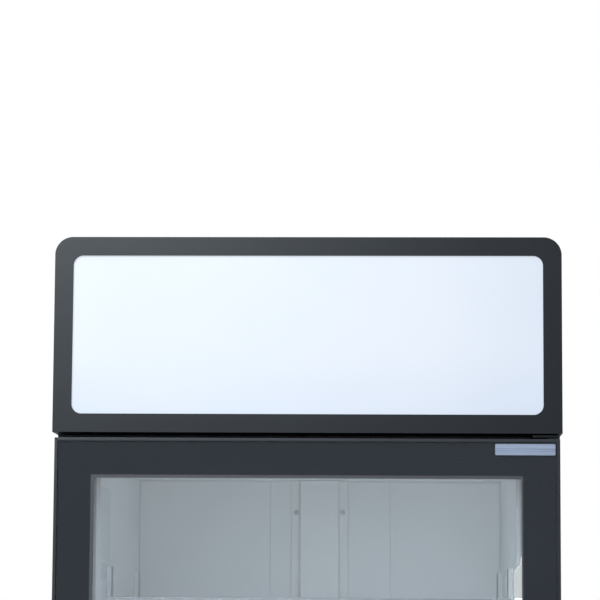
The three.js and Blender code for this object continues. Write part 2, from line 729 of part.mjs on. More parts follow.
function baseTray() {
  const floor = slab(SHELL_HALF, [BODY_FRONT + 1, REAR - 1], [BASE_Z, BASE_Z + 2.5]);
  const upstands = [
    slab(SHELL_HALF, [REAR - 14, REAR - 12], [BASE_Z, BASE_Z + 14]),
    box([-SHELL_HALF, -SHELL_HALF + 2], [BODY_FRONT + 1, REAR - 12], [BASE_Z, BASE_Z + 20]),
    box([SHELL_HALF - 2, SHELL_HALF], [BODY_FRONT + 1, REAR - 12], [BASE_Z, BASE_Z + 20]),
  ];
  const ears = [];
  const holes = [];
  for (const side of [-1, 1]) {
    for (const out of [-1, 1]) {
      const x = side * ROLLER.x + out * ROLLER.ear;
      ears.push(box([x - 1.5, x + 1.5], [ROLLER.y - 13, ROLLER.y + 13], [ROLLER.axle - 9, BASE_Z + 1]));
    }
    const middle = side * ROLLER.x;
    holes.push(rod("x", 4.4, middle - 20, middle + 20, [0, ROLLER.y, ROLLER.axle], 16));
    holes.push(rod("z", 5.4, BASE_Z - 1, BASE_Z + 4, [side * FOOT.x, FOOT.y, 0], 20));
  }
  add("base_tray", cut(join(floor, ...upstands, ...ears), ...holes), MATERIAL.zinc);
}

// A levelling foot: pad, hexagon nut and threaded stud.
function levellingFoot(x) {
  const pad = turned([[0, 0], [20, 0], [20, 7], [13, 12], [0, 12]], x, FOOT.y, 24);
  const nut = rod("z", 9, 11, 18, [x, FOOT.y, 0], 6);
  const stud = rod("z", 5, 17, 72, [x, FOOT.y, 0], 16);
  return join(pad, nut, stud);
}

// A roller with its axle stubs, turned so that a flat of its tread is underneath.
function roller(x) {
  const radius = ROLLER.axle / Math.cos(Math.PI / ROLLER.sides);
  const place = [0, 0, 0];
  const half = ROLLER.width / 2;
  const wheel = rod("x", radius, x - half, x + half, place, ROLLER.sides);
  const axle = rod("x", 4, x - 18, x + 18, place, 12);
  return join(wheel.rotateX(Math.PI / ROLLER.sides), axle).translate(0, ROLLER.y, ROLLER.axle);
}

function compressor() {
  const { x, y, plate, grommet, terminal } = COMPRESSOR;
  const shell = turned(COMPRESSOR.shell, x, y, 28);
  const foot = box([x - plate.halfX, x + plate.halfX], [y - plate.halfY, y + plate.halfY], plate.z);
  const grommets = [-1, 1].flatMap((i) =>
    [-1, 1].map((j) =>
      rod("z", grommet.radius, BASE_Z + 2.8, grommet.top, [x + i * grommet.x, y + j * grommet.y, 0], 14),
    ),
  );
  const cover = box(
    [x - terminal.half, x + terminal.half],
    [y - terminal.front, y - terminal.back],
    terminal.z,
  );
  add("compressor", join(shell, foot, ...grommets, cover), MATERIAL.plasticBlack);
}

function condenserUnit() {
  const coil = CONDENSER;
  add("condenser_coil", finnedCoil(coil.x, coil.y, coil.z, coil.fins), MATERIAL.aluminium);
  const { x, z, radius, hub, shroudFront, shroudHalf, ringDepth } = FAN;
  const plateY = [shroudFront, shroudFront + 2];
  const shroud = cut(
    join(
      box([x - shroudHalf, x + shroudHalf], plateY, [BASE_Z + 3, z + 115]),
      rod("y", radius + 8, shroudFront, shroudFront + ringDepth, [x, 0, z], 32),
    ),
    rod("y", radius + 5, shroudFront - 1, shroudFront + ringDepth + 1, [x, 0, z], 32),
  );
  add("condenser_fan_shroud", shroud, MATERIAL.zinc);
  const { arm } = FAN_MOTOR;
  const motorFront = shroudFront + FAN_MOTOR.behindShroud;
  const arms = [0, 1, 2].map((i) =>
    join(
      box([20, radius + 22], [motorFront, motorFront + arm], [-5, 5]),
      box([radius + 16, radius + 22], [plateY[1] + GAP, motorFront + arm], [-5, 5]),
    )
      .rotateY(Math.PI / 2 + (i * 2 * Math.PI) / 3)
      .translate(x, 0, z),
  );
  add(
    "condenser_fan_motor",
    join(rod("y", FAN_MOTOR.radius, motorFront, motorFront + FAN_MOTOR.length, [x, 0, z], 24), ...arms),
    MATERIAL.plasticBlack,
  );
  add(
    "condenser_fan_blade",
    propeller(5, radius, hub, 24, BLADE.pitch, 58).rotateX(Math.PI / 2).translate(x, shroudFront + 16, z),
    MATERIAL.plasticBlack,
  );
}

function machineCompartment() {
  baseTray();
  compressor();
  condenserUnit();
  const tray = MELT_TRAY;
  const trayFloor = BASE_Z + 3;
  add(
    "evaporation_tray",
    cut(
      box(tray.x, tray.y, [trayFloor, trayFloor + tray.height]),
      box(
        [tray.x[0] + tray.wall, tray.x[1] - tray.wall],
        [tray.y[0] + tray.wall, tray.y[1] - tray.wall],
        [trayFloor + tray.wall, trayFloor + tray.height + 2],
      ),
    ),
    MATERIAL.plasticBlack,
  );
  add("electrical_box", box(ELECTRICAL_BOX.x, ELECTRICAL_BOX.y, ELECTRICAL_BOX.z), MATERIAL.zinc);
  add("discharge_pipe", pipe(DISCHARGE.path, DISCHARGE.radius, 40), MATERIAL.copper);
  add("suction_pipe", pipe(SUCTION.path, SUCTION.radius, 34), MATERIAL.copper);
  const through = [GUARD.y[0] - 1, GUARD.y[1] + 1.5];
  const slots = [-1, 1].flatMap((side) =>
    Array.from({ length: GUARD.slots }, (_, row) => {
      const z = GUARD.first + row * GUARD.pitch;
      const x = side * GUARD.x;
      return box([x - GUARD.half, x + GUARD.half], through, [z, z + GUARD.slot]);
    }),
  );
  const glandPlace = [GLAND.x, 0, GLAND.z];
  add(
    "rear_guard",
    cut(
      slab(SHELL_HALF, GUARD.y, [BASE_Z + 3, COMPARTMENT_TOP - 1]),
      ...slots,
      rod("y", GLAND.body + 0.4, ...through, glandPlace, 20),
    ),
    MATERIAL.zinc,
  );
  add(
    "cable_gland",
    cut(
      join(
        rod("y", GLAND.body, REAR - 20, REAR - 4, glandPlace, 20),
        rod("y", GLAND.flange, GUARD.y[1] + GAP, REAR - 1.5, glandPlace, 20),
      ),
      rod("y", GLAND.bore, REAR - 21, REAR, glandPlace, 12),
    ),
    MATERIAL.plasticBlack,
  );
  for (const [name, side] of [["left", -1], ["right", 1]]) {
    add(`levelling_foot_${name}`, levellingFoot(side * FOOT.x), MATERIAL.zinc);
    add(`rear_roller_${name}`, roller(side * ROLLER.x), MATERIAL.plasticBlack);
  }
}

// ---- Kick panel with its controls ------------------------------------------------------------------
const PANEL = { face: FRONT + 2, wall: 2.5, z: [46, 325] };
const CONTROLLER = { half: 39, z: [262, 300], face: FRONT + 0.4, depth: 30 };
const BUTTONS = [6, 18, 30];
const BUTTON = { halfX: 4.4, halfZ: 3.4, proud: 1, depth: 6, room: 0.4, travel: 3 };
const LOUVRE = { rows: 11, first: 76, pitch: 15, height: 7, x: 136, half: 122 };
const DISPLAY = { x: [-34, -4], halfHeight: 10, recess: 0.8 };
const SWITCH = { x: 76, z: 281, half: 6.8, pivot: FRONT + 9, tilt: (8 * Math.PI) / 180 };

function kickPanel() {
  const { face, wall, z } = PANEL;
  const through = [face - 1, face + wall + 1];
  const shell = cut(
    slab(DOOR_HALF, [face, BODY_FRONT - GAP], z),
    slab(DOOR_HALF - wall, [face + wall, BODY_FRONT + 1], [z[0] + wall, z[1] - wall]),
  );
  const louvres = [-1, 1].flatMap((side) =>
    Array.from({ length: LOUVRE.rows }, (_, row) => {
      const low = LOUVRE.first + row * LOUVRE.pitch;
      const x = side * LOUVRE.x;
      return box([x - LOUVRE.half, x + LOUVRE.half], through, [low, low + LOUVRE.height]);
    }),
  );
  add(
    "kick_panel",
    cut(
      shell,
      ...louvres,
      slab(CONTROLLER.half + GAP, through, [CONTROLLER.z[0] - GAP, CONTROLLER.z[1] + GAP]),
      box([SWITCH.x - 8, SWITCH.x + 8], through, [SWITCH.z - 14, SWITCH.z + 14]),
      rod("y", LOCK.barrel + 0.4, ...through, [LOCK.x, 0, LOCK.z]),
      LOCK_SLOT,
    ),
    MATERIAL.plasticBlack,
  );

  const middle = (CONTROLLER.z[0] + CONTROLLER.z[1]) / 2;
  const button = (x, room, y) =>
    box(
      [x - BUTTON.halfX - room, x + BUTTON.halfX + room],
      y,
      [middle - BUTTON.halfZ - room, middle + BUTTON.halfZ + room],
    );
  const buttonBack = CONTROLLER.face + BUTTON.depth;
  const pockets = BUTTONS.map((x) =>
    button(x, BUTTON.room, [CONTROLLER.face - 1, buttonBack + BUTTON.travel]),
  );
  const display = box(
    DISPLAY.x,
    [CONTROLLER.face - 1, CONTROLLER.face + DISPLAY.recess],
    [middle - DISPLAY.halfHeight, middle + DISPLAY.halfHeight],
  );
  add(
    "controller_body",
    cut(
      slab(CONTROLLER.half, [CONTROLLER.face, CONTROLLER.face + CONTROLLER.depth], CONTROLLER.z),
      display,
      ...pockets,
    ),
    MATERIAL.plasticBlack,
  );
  BUTTONS.forEach((x, i) => {
    const solid = button(x, 0, [CONTROLLER.face - BUTTON.proud, buttonBack]);
    add(`controller_button_${i + 1}`, solid, MATERIAL.plasticGrey);
  });

  // The rocker's face is a shallow V, so that one half lies flush while the other stands out.
  const rocker = [
    [-9, -11],
    [-7, 0],
    [-9, 11],
    [6, 9],
    [6, -9],
  ];
  add(
    "light_switch_rocker",
    prism("x", rocker.reverse(), -SWITCH.half, SWITCH.half)
      .rotateX(SWITCH.tilt)
      .translate(SWITCH.x, SWITCH.pivot, SWITCH.z),
    MATERIAL.plasticGrey,
  );

  const barrelBack = LOCK.tongue[0] + 1;
  add(
    "door_lock",
    cut(
      join(
        rod("y", LOCK.barrel + 3, FRONT - 1.5, PANEL.face - GAP, [LOCK.x, 0, LOCK.z]),
        rod("y", LOCK.barrel, FRONT, barrelBack, [LOCK.x, 0, LOCK.z]),
        box([LOCK.x - 7, LOCK.x + LOCK.reach - 1], LOCK.tongue, [LOCK.z - 5, LOCK.z + 5]),
      ),
      box([LOCK.x - 1, LOCK.x + 1], [FRONT - 2, FRONT + 12], [LOCK.z - 4, LOCK.z + 4]),
    ),
    MATERIAL.zinc,
  );
}

// ---- Assembly --------------------------------------------------------------------------------------
insulatedBody();
evaporatorChamber();
ductCover();
shelfRails();
SHELF_TOPS.forEach((top, i) => add(`wire_shelf_${i + 1}`, shelf(top), MATERIAL.wire));
lamp();
canopy();
hinges();
door();
machineCompartment();
kickPanel();

export default model;
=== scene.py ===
"""Looks of a one-door glass merchandiser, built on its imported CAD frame.

Metres, +Z up, front towards -Y. Places come from the boxes of the CAD nodes. The sizes named below are
those of the detail that the CAD leaves out, such as wires, screws, seals and fins.
"""

import json
import math

import bmesh
import bpy
from mathutils import Matrix, Vector

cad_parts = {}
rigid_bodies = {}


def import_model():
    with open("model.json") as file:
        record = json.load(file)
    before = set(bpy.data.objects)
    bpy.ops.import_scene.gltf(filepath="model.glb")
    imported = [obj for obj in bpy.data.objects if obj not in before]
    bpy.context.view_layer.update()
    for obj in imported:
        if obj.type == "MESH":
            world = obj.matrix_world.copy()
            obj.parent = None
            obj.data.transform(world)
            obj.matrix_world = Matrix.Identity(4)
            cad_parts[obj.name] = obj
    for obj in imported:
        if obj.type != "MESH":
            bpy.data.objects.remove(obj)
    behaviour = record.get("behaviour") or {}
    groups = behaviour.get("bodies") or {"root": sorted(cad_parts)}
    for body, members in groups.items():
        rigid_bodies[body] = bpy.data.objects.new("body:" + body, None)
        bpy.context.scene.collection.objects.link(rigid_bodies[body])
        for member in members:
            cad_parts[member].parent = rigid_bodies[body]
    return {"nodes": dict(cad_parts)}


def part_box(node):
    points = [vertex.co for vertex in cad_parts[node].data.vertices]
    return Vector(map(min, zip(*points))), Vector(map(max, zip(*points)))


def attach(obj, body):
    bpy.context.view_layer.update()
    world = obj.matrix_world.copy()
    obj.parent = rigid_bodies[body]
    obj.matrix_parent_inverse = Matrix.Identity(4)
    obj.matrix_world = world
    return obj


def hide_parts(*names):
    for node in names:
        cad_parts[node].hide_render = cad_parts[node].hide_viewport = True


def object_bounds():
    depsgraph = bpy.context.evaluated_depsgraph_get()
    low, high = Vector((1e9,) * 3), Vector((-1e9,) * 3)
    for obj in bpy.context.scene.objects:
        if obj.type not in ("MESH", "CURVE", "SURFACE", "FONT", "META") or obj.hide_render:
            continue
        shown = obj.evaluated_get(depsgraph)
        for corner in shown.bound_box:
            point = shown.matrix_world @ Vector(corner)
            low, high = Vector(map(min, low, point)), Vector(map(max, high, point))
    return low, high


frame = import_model()
CAD_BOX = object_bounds()

MM = 0.001
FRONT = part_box("canopy_frame")[0].y
REAR = CAD_BOX[1].y
BODY_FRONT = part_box("front_collar")[0].y
DOOR = (
    Vector((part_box("door_stile_left")[0].x, FRONT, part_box("door_rail_bottom")[0].z)),
    Vector((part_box("door_stile_right")[1].x, BODY_FRONT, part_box("door_rail_top")[1].z)),
)
SHELVES = [f"wire_shelf_{i}" for i in (1, 2, 3, 4)]
AXES = {
    "x": (Vector((1, 0, 0)), Vector((0, 1, 0)), Vector((0, 0, 1))),
    "y": (Vector((0, 1, 0)), Vector((1, 0, 0)), Vector((0, 0, 1))),
    "z": (Vector((0, 0, 1)), Vector((1, 0, 0)), Vector((0, 1, 0))),
}


# ---- Points ----
def mm(*pairs):
    """Pairs of millimetres, in metres."""
    return [(a * MM, b * MM) for a, b in pairs]


def spread(start, end, count):
    return [start + (end - start) * i / (count - 1) for i in range(count)]


def turns(count):
    """Angles in radians that share out a full turn."""
    return [2 * math.pi * k / count for k in range(count)]


def on_circle(centre, radius, degrees):
    turn = math.radians(degrees)
    return centre[0] + radius * math.cos(turn), centre[1] + radius * math.sin(turn)


def arc(centre, radius, start, end, steps):
    """Points round a circle in a plane, with angles in degrees."""
    return [on_circle(centre, radius, degrees) for degrees in spread(start, end, steps)]


def rounded(x0, x1, z0, z1, radius, steps=5):
    """The outline of a rectangle with round corners."""
    outline = []
    for x, z, turn in ((x1, z0, -90), (x1, z1, 0), (x0, z1, 90), (x0, z0, 180)):
        centre_x = x - math.copysign(radius, x - (x0 + x1) / 2)
        centre_z = z - math.copysign(radius, z - (z0 + z1) / 2)
        outline += arc((centre_x, centre_z), radius, turn, turn + 90, steps)
    return outline


# ---- Node-based materials ----
def add_node(tree, kind, inputs=(), **settings):
    """A shader node. Each input is a socket to link from or a constant."""
    made = tree.nodes.new(kind)
    for key, value in settings.items():
        setattr(made, key, value)
    for socket, value in dict(inputs).items():
        if isinstance(value, bpy.types.NodeSocket):
            tree.links.new(value, made.inputs[socket])
        else:
            made.inputs[socket].default_value = value
    return made


class Finish:
    """A Principled material whose colour, roughness and relief are driven by procedural textures."""

    def __init__(self, name, **constants):
        self.material = bpy.data.materials.new(name)
        self.material.use_nodes = True
        self.tree = self.material.node_tree
        self.shader = self.tree.nodes["Principled BSDF"]
        self.place = self.node("ShaderNodeTexCoord").outputs["Object"]
        for socket, value in constants.items():
            self.shader.inputs[socket.replace("_", " ")].default_value = value

    def node(self, kind, inputs=(), **settings):
        return add_node(self.tree, kind, inputs, **settings)

    def noise(self, scale, detail=2.0, stretch=None):
        place = self.place
        if stretch:
            place = self.node("ShaderNodeMapping", {"Vector": place, "Scale": stretch}).outputs[0]
        inputs = {"Vector": place, "Scale": scale, "Detail": detail}
        return self.node("ShaderNodeTexNoise", inputs).outputs[0]

    def cells(self, scale):
        """An irregular pattern of cells, each with a tone of its own."""
        pattern = self.node("ShaderNodeTexVoronoi", {"Vector": self.place, "Scale": scale})
        return self.node("ShaderNodeSeparateColor", {0: pattern.outputs["Color"]}).outputs[0]

    def axis(self, letter):
        return self.node("ShaderNodeSeparateXYZ", {0: self.place}).outputs[letter]

    def math(self, operation, a, b=0.0):
        return self.node("ShaderNodeMath", {0: a, 1: b}, operation=operation).outputs[0]

    def span(self, value, start, end, low=0.0, high=1.0):
        """Turns a value's range into another, smoothly, and holds it at both ends."""
        inputs = {"Value": value, "From Min": start, "From Max": end, "To Min": low, "To Max": high}
        return self.node("ShaderNodeMapRange", inputs, interpolation_type="SMOOTHSTEP").outputs[0]

    def between(self, share, a, b):
        """A mix of two colours, each given as (red, green, blue) or as a socket."""
        a, b = (c if isinstance(c, bpy.types.NodeSocket) else (*c, 1.0) for c in (a, b))
        return self.node("ShaderNodeMix", {0: share, 6: a, 7: b}, data_type="RGBA").outputs[2]

    def colour(self, source, socket="Base Color"):
        self.tree.links.new(source, self.shader.inputs[socket])

    def rough(self, source, low, high):
        self.tree.links.new(self.span(source, 0.3, 0.7, low, high), self.shader.inputs["Roughness"])

    def relief(self, *layers):
        """Each layer is a height from 0 to 1 with the depth it stands for, in metres."""
        normal = None
        for height, depth in layers:
            inputs = {"Height": height, "Distance": depth, "Strength": 1.0}
            if normal is not None:
                inputs["Normal"] = normal
            normal = self.node("ShaderNodeBump", inputs).outputs[0]
        self.tree.links.new(normal, self.shader.inputs["Normal"])


def grained(name, dark, light, rough, grain, depth, **constants):
    """A coated or moulded surface: slightly mottled, uneven in gloss, with a fine even grain."""
    f = Finish(name, **constants)
    f.colour(f.between(f.span(f.noise(7.0, 4.0), 0.35, 0.65), dark, light))
    f.rough(f.noise(220.0, 3.0), rough - 0.02, rough + 0.02)
    f.relief((f.noise(grain, 2.0), depth))
    return f.material


def brushed(name, dark, light, rough, stretch):
    """Metal with fine lines along the axis whose stretch is smallest."""
    f = Finish(name, Metallic=1.0)
    lines = f.noise(1.0, 4.0, stretch)
    f.colour(f.between(lines, dark, light))
    f.rough(lines, rough - 0.07, rough + 0.09)
    f.relief((lines, 0.02 * MM))
    return f.material


def galvanised(name):
    """Zinc-coated sheet with the crystals of the coating."""
    f = Finish(name, Metallic=0.9)
    crystal = f.cells(95.0)
    f.colour(f.between(crystal, (0.38, 0.40, 0.42), (0.56, 0.58, 0.60)))
    f.rough(crystal, 0.32, 0.52)
    f.relief((crystal, 0.015 * MM), (f.noise(500.0), 0.01 * MM))
    return f.material


def copper_pipe(name):
    f = Finish(name, Metallic=1.0)
    tarnish = f.span(f.noise(38.0, 5.0), 0.42, 0.62)
    f.colour(f.between(tarnish, (0.72, 0.33, 0.17), (0.34, 0.16, 0.09)))
    f.rough(f.noise(90.0), 0.22, 0.45)
    f.relief((f.noise(260.0), 0.02 * MM))
    return f.material


def window_glass(name, tint):
    """Float glass. Light for the cabinet passes straight through it, so its shade stays clear."""
    shade = (*tint, 1.0)
    f = Finish(name, Base_Color=shade, Transmission_Weight=1.0, Roughness=0.0, IOR=1.5)
    ray = f.node("ShaderNodeLightPath").outputs
    passing = f.math("MAXIMUM", ray["Is Shadow Ray"], ray["Is Diffuse Ray"])
    clear = f.node("ShaderNodeBsdfTransparent", {"Color": shade})
    mixed = f.node("ShaderNodeMixShader", {0: passing, 1: f.shader.outputs[0], 2: clear.outputs[0]})
    f.tree.links.new(mixed.outputs[0], f.tree.nodes["Material Output"].inputs["Surface"])
    return f.material


def lit_sign(name, node):
    """An opal panel, lit from behind and a little dimmer towards its lower right corner."""
    low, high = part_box(node)
    fade_x = 120 * MM
    fade_z = (low.z + high.z) / 2 - 10 * MM
    f = Finish(name, Roughness=0.42, Specular_IOR_Level=0.15, Emission_Strength=1.0)
    across = f.span(f.axis("X"), fade_x, high.x)
    down = f.span(f.axis("Z"), fade_z, low.z)
    dim = f.math("ADD", f.math("MULTIPLY", across, 0.45), f.math("MULTIPLY", down, 0.65))
    cloudy = f.math("ADD", dim, f.span(f.noise(5.0), 0.3, 0.7, -0.05, 0.05))
    f.colour(f.between(f.noise(9.0), (0.10, 0.105, 0.11), (0.12, 0.125, 0.13)))
    f.colour(f.between(cloudy, (0.595, 0.635, 0.69), (0.505, 0.56, 0.665)), "Emission Color")
    f.relief((f.noise(700.0), 0.01 * MM))
    return f.material


def light_tube(name, colour, strength):
    """A ribbed diffuser with the light of its diodes behind it."""
    rib = 0.6 * MM
    reach = 9 * MM
    f = Finish(name, Roughness=0.35, Emission_Strength=strength)
    ribs = f.math("PINGPONG", f.axis("X"), rib)
    diode = f.span(f.math("PINGPONG", f.axis("Z"), reach), 0.0, reach)
    f.colour(f.between(diode, (0.80, 0.84, 0.86), (0.86, 0.90, 0.92)))
    f.colour(f.between(diode, colour, tuple(0.94 * c for c in colour)), "Emission Color")
    f.relief((f.math("MULTIPLY", ribs, 1.0 / rib), 0.1 * MM))
    return f.material


def collar_paint(name):
    """Pale where the door seals against it and black round the outside."""
    f = Finish(name)
    low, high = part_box("door_gasket")
    inset = 12 * MM
    from_middle = f.math("SUBTRACT", f.axis("Z"), (low.z + high.z) / 2)
    reach_x = f.math("SUBTRACT", f.math("ABSOLUTE", f.axis("X")), high.x - inset)
    reach_z = f.math("SUBTRACT", f.math("ABSOLUTE", from_middle), (high.z - low.z) / 2 - inset)
    outside = f.span(f.math("MAXIMUM", reach_x, reach_z), 0.0, 1 * MM)
    pale = f.between(f.noise(7.0, 4.0), (0.62, 0.64, 0.66), (0.66, 0.68, 0.70))
    black = f.between(f.noise(9.0, 4.0), (0.010, 0.011, 0.013), (0.016, 0.018, 0.020))
    f.colour(f.between(outside, pale, black))
    f.rough(f.noise(60.0, 3.0), 0.36, 0.46)
    f.relief((f.noise(800.0), 0.02 * MM))
    return f.material


def beaded_sheet(name):
    """Dark coated sheet with upright stiffening beads pressed in it, which end short of its edges."""
    f = Finish(name)
    low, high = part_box("rear_panel")
    half_pitch = 50 * MM
    margin = 50 * MM
    run_out = 10 * MM
    aside = f.math("PINGPONG", f.math("ADD", f.axis("X"), 10 * half_pitch), half_pitch)
    bead = f.span(aside, 0.0, 6 * MM, 1.0, 0.0)
    bottom = f.span(f.axis("Z"), low.z + margin, low.z + margin + run_out)
    top = f.span(f.axis("Z"), high.z - margin, high.z - margin - run_out)
    beads = f.math("MULTIPLY", bead, f.math("MULTIPLY", bottom, top))
    f.colour(f.between(f.noise(6.0, 4.0), (0.030, 0.034, 0.039), (0.042, 0.047, 0.053)))
    f.rough(f.noise(60.0), 0.42, 0.52)
    f.relief((beads, -1.6 * MM), (f.noise(700.0), 0.03 * MM))
    return f.material


def pierced_spacer(name):
    """The strip between the panes, with its row of breathing holes, darkened with painted shade of the hollow
    bar behind them.
    """
    f = Finish(name, Metallic=0.3)
    low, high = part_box("glass_spacer")
    along = f.math("PINGPONG", f.axis("Z"), 2 * MM)
    beside = f.math("SUBTRACT", f.axis("Y"), (low.y + high.y) / 2)
    far = f.math("ADD", f.math("MULTIPLY", along, along), f.math("MULTIPLY", beside, beside))
    hole = f.span(far, (0.45 * MM) ** 2, (0.7 * MM) ** 2)
    # Painted shade: each hole is coloured near black, as the hollow behind it would look in shade.
    f.colour(f.between(hole, (0.02, 0.02, 0.02), (0.13, 0.145, 0.16)))
    f.rough(f.noise(200.0), 0.38, 0.48)
    f.relief((hole, 0.2 * MM))
    return f.material


def threaded(name, pitch):
    """Bright zinc with the turns of a thread along Z."""
    f = Finish(name, Metallic=1.0)
    turn = f.math("MULTIPLY", f.math("PINGPONG", f.axis("Z"), pitch / 2), 2 / pitch)
    f.colour(f.between(f.noise(120.0, 3.0), (0.50, 0.51, 0.52), (0.66, 0.67, 0.68)))
    f.rough(f.noise(200.0), 0.24, 0.40)
    f.relief((turn, 0.6 * pitch))
    return f.material


CANOPY = grained(
    "canopy_satin", (0.004, 0.0048, 0.0056), (0.005, 0.006, 0.007), 0.43, 1500, 0.012 * MM,
    Specular_IOR_Level=0.2,
)
STEEL = grained("powder_coat", (0.010, 0.011, 0.012), (0.013, 0.014, 0.015), 0.48, 1100, 0.02 * MM)
DOOR_FRAME = grained(
    "door_frame_black", (0.008, 0.009, 0.010), (0.011, 0.012, 0.013), 0.34, 1800, 0.006 * MM,
    Specular_IOR_Level=0.35,
)
PRINT = grained(
    "printed_border", (0.0035, 0.004, 0.0045), (0.0045, 0.005, 0.0055), 0.6, 2000, 0.001 * MM,
    Specular_IOR_Level=0.0,
)
# Painted shade: a grey ink band on the pane, standing in for the spacer's grey and the shaded inner faces of
# the window.
PAINTED_RIM_SHADE = grained(
    "window_rim", (0.038, 0.037, 0.036), (0.043, 0.041, 0.040), 0.6, 2000, 0.001 * MM,
    Specular_IOR_Level=0.0,
)
LINING = grained(
    "window_lining", (0.085, 0.095, 0.105), (0.10, 0.11, 0.12), 0.75, 900, 0.01 * MM,
    Specular_IOR_Level=0.08,
)
GLOSSY = grained(
    "gloss_black", (0.006, 0.006, 0.007), (0.010, 0.010, 0.011), 0.16, 90, 0.04 * MM, Coat_Weight=0.5
)
TICKET = grained(
    "ticket_strip", (0.43, 0.44, 0.46), (0.47, 0.48, 0.50), 0.26, 200, 0.01 * MM, Coat_Weight=0.6
)
MOULDED = grained("moulded_black", (0.012, 0.013, 0.014), (0.017, 0.018, 0.020), 0.50, 900, 0.02 * MM)
GASKET = grained("seal_vinyl", (0.020, 0.022, 0.024), (0.034, 0.037, 0.040), 0.62, 300, 0.04 * MM)
NYLON = grained("roller_nylon", (0.028, 0.029, 0.031), (0.042, 0.043, 0.046), 0.45, 450, 0.05 * MM)
LINER = grained("liner_white", (0.78, 0.79, 0.79), (0.80, 0.81, 0.81), 0.46, 420, 0.02 * MM)
SHEET = grained("duct_white", (0.80, 0.80, 0.79), (0.83, 0.83, 0.82), 0.40, 700, 0.015 * MM)
COATED = grained("wire_coating", (0.60, 0.64, 0.67), (0.70, 0.73, 0.75), 0.30, 350, 0.05 * MM)
CARD = grained("blank_card", (0.78, 0.82, 0.87), (0.84, 0.87, 0.91), 0.60, 1600, 0.02 * MM)
LABEL = grained("blank_label", (0.66, 0.69, 0.70), (0.69, 0.72, 0.73), 0.50, 1200, 0.02 * MM)
CAP = grained("lamp_cap", (0.43, 0.395, 0.355), (0.47, 0.43, 0.385), 0.45, 900, 0.03 * MM)
PALE = grained("pale_buttons", (0.48, 0.49, 0.50), (0.56, 0.57, 0.58), 0.40, 1200, 0.03 * MM)
BOARD = grained("lamp_board", (0.70, 0.71, 0.72), (0.76, 0.77, 0.78), 0.50, 500, 0.03 * MM)
FOAM = grained("foam", (0.62, 0.50, 0.25), (0.72, 0.60, 0.33), 0.90, 260, 0.4 * MM)
FIN = brushed("fin_aluminium", (0.55, 0.57, 0.60), (0.75, 0.77, 0.79), 0.32, (900, 900, 25))
BADGE_FINISH = brushed("badge_plate", (0.22, 0.25, 0.31), (0.35, 0.38, 0.44), 0.34, (12, 900, 1500))
SILVER = brushed("brushed_plate", (0.62, 0.64, 0.67), (0.86, 0.87, 0.89), 0.26, (12, 900, 1500))
SCREW = brushed("screw_zinc", (0.42, 0.43, 0.45), (0.62, 0.63, 0.65), 0.30, (700, 700, 700))
ZINC = galvanised("galvanised_sheet")
COPPER = copper_pipe("copper_pipe")
GLASS = window_glass("float_glass", (0.975, 0.985, 0.985))
THREAD = threaded("threaded_zinc", 1.5 * MM)


# ---- Dressing CAD nodes and making new pieces ----
def dress(node, finish, bevel=0.0, round_below=35.0):
    """Gives a CAD node its finish. With a bevel, its coplanar facets are joined and its edges broken."""
    part = frame["nodes"][node]
    for held in part.material_slots:
        held.material = finish
    mesh = part.data
    if "custom_normal" in mesh.attributes:
        mesh.attributes.remove(mesh.attributes["custom_normal"])
    mesh.polygons.foreach_set("use_smooth", [True] * len(mesh.polygons))
    part.modifiers.new("join", "WELD").merge_threshold = 0.01 * MM
    if bevel:
        flat = part.modifiers.new("facets", "DECIMATE")
        flat.decimate_type = "DISSOLVE"
        flat.angle_limit = math.radians(1)
        soften(part, bevel, round_below)
    else:
        part.modifiers.new("edges", "EDGE_SPLIT").split_angle = math.radians(round_below)


def soften(part, bevel, round_below):
    edge = part.modifiers.new("edges", "BEVEL")
    edge.width = bevel
    edge.segments = 2
    edge.limit_method = "ANGLE"
    edge.angle_limit = math.radians(round_below)
    edge.use_clamp_overlap = True
    part.modifiers.new("shading", "WEIGHTED_NORMAL").keep_sharp = True


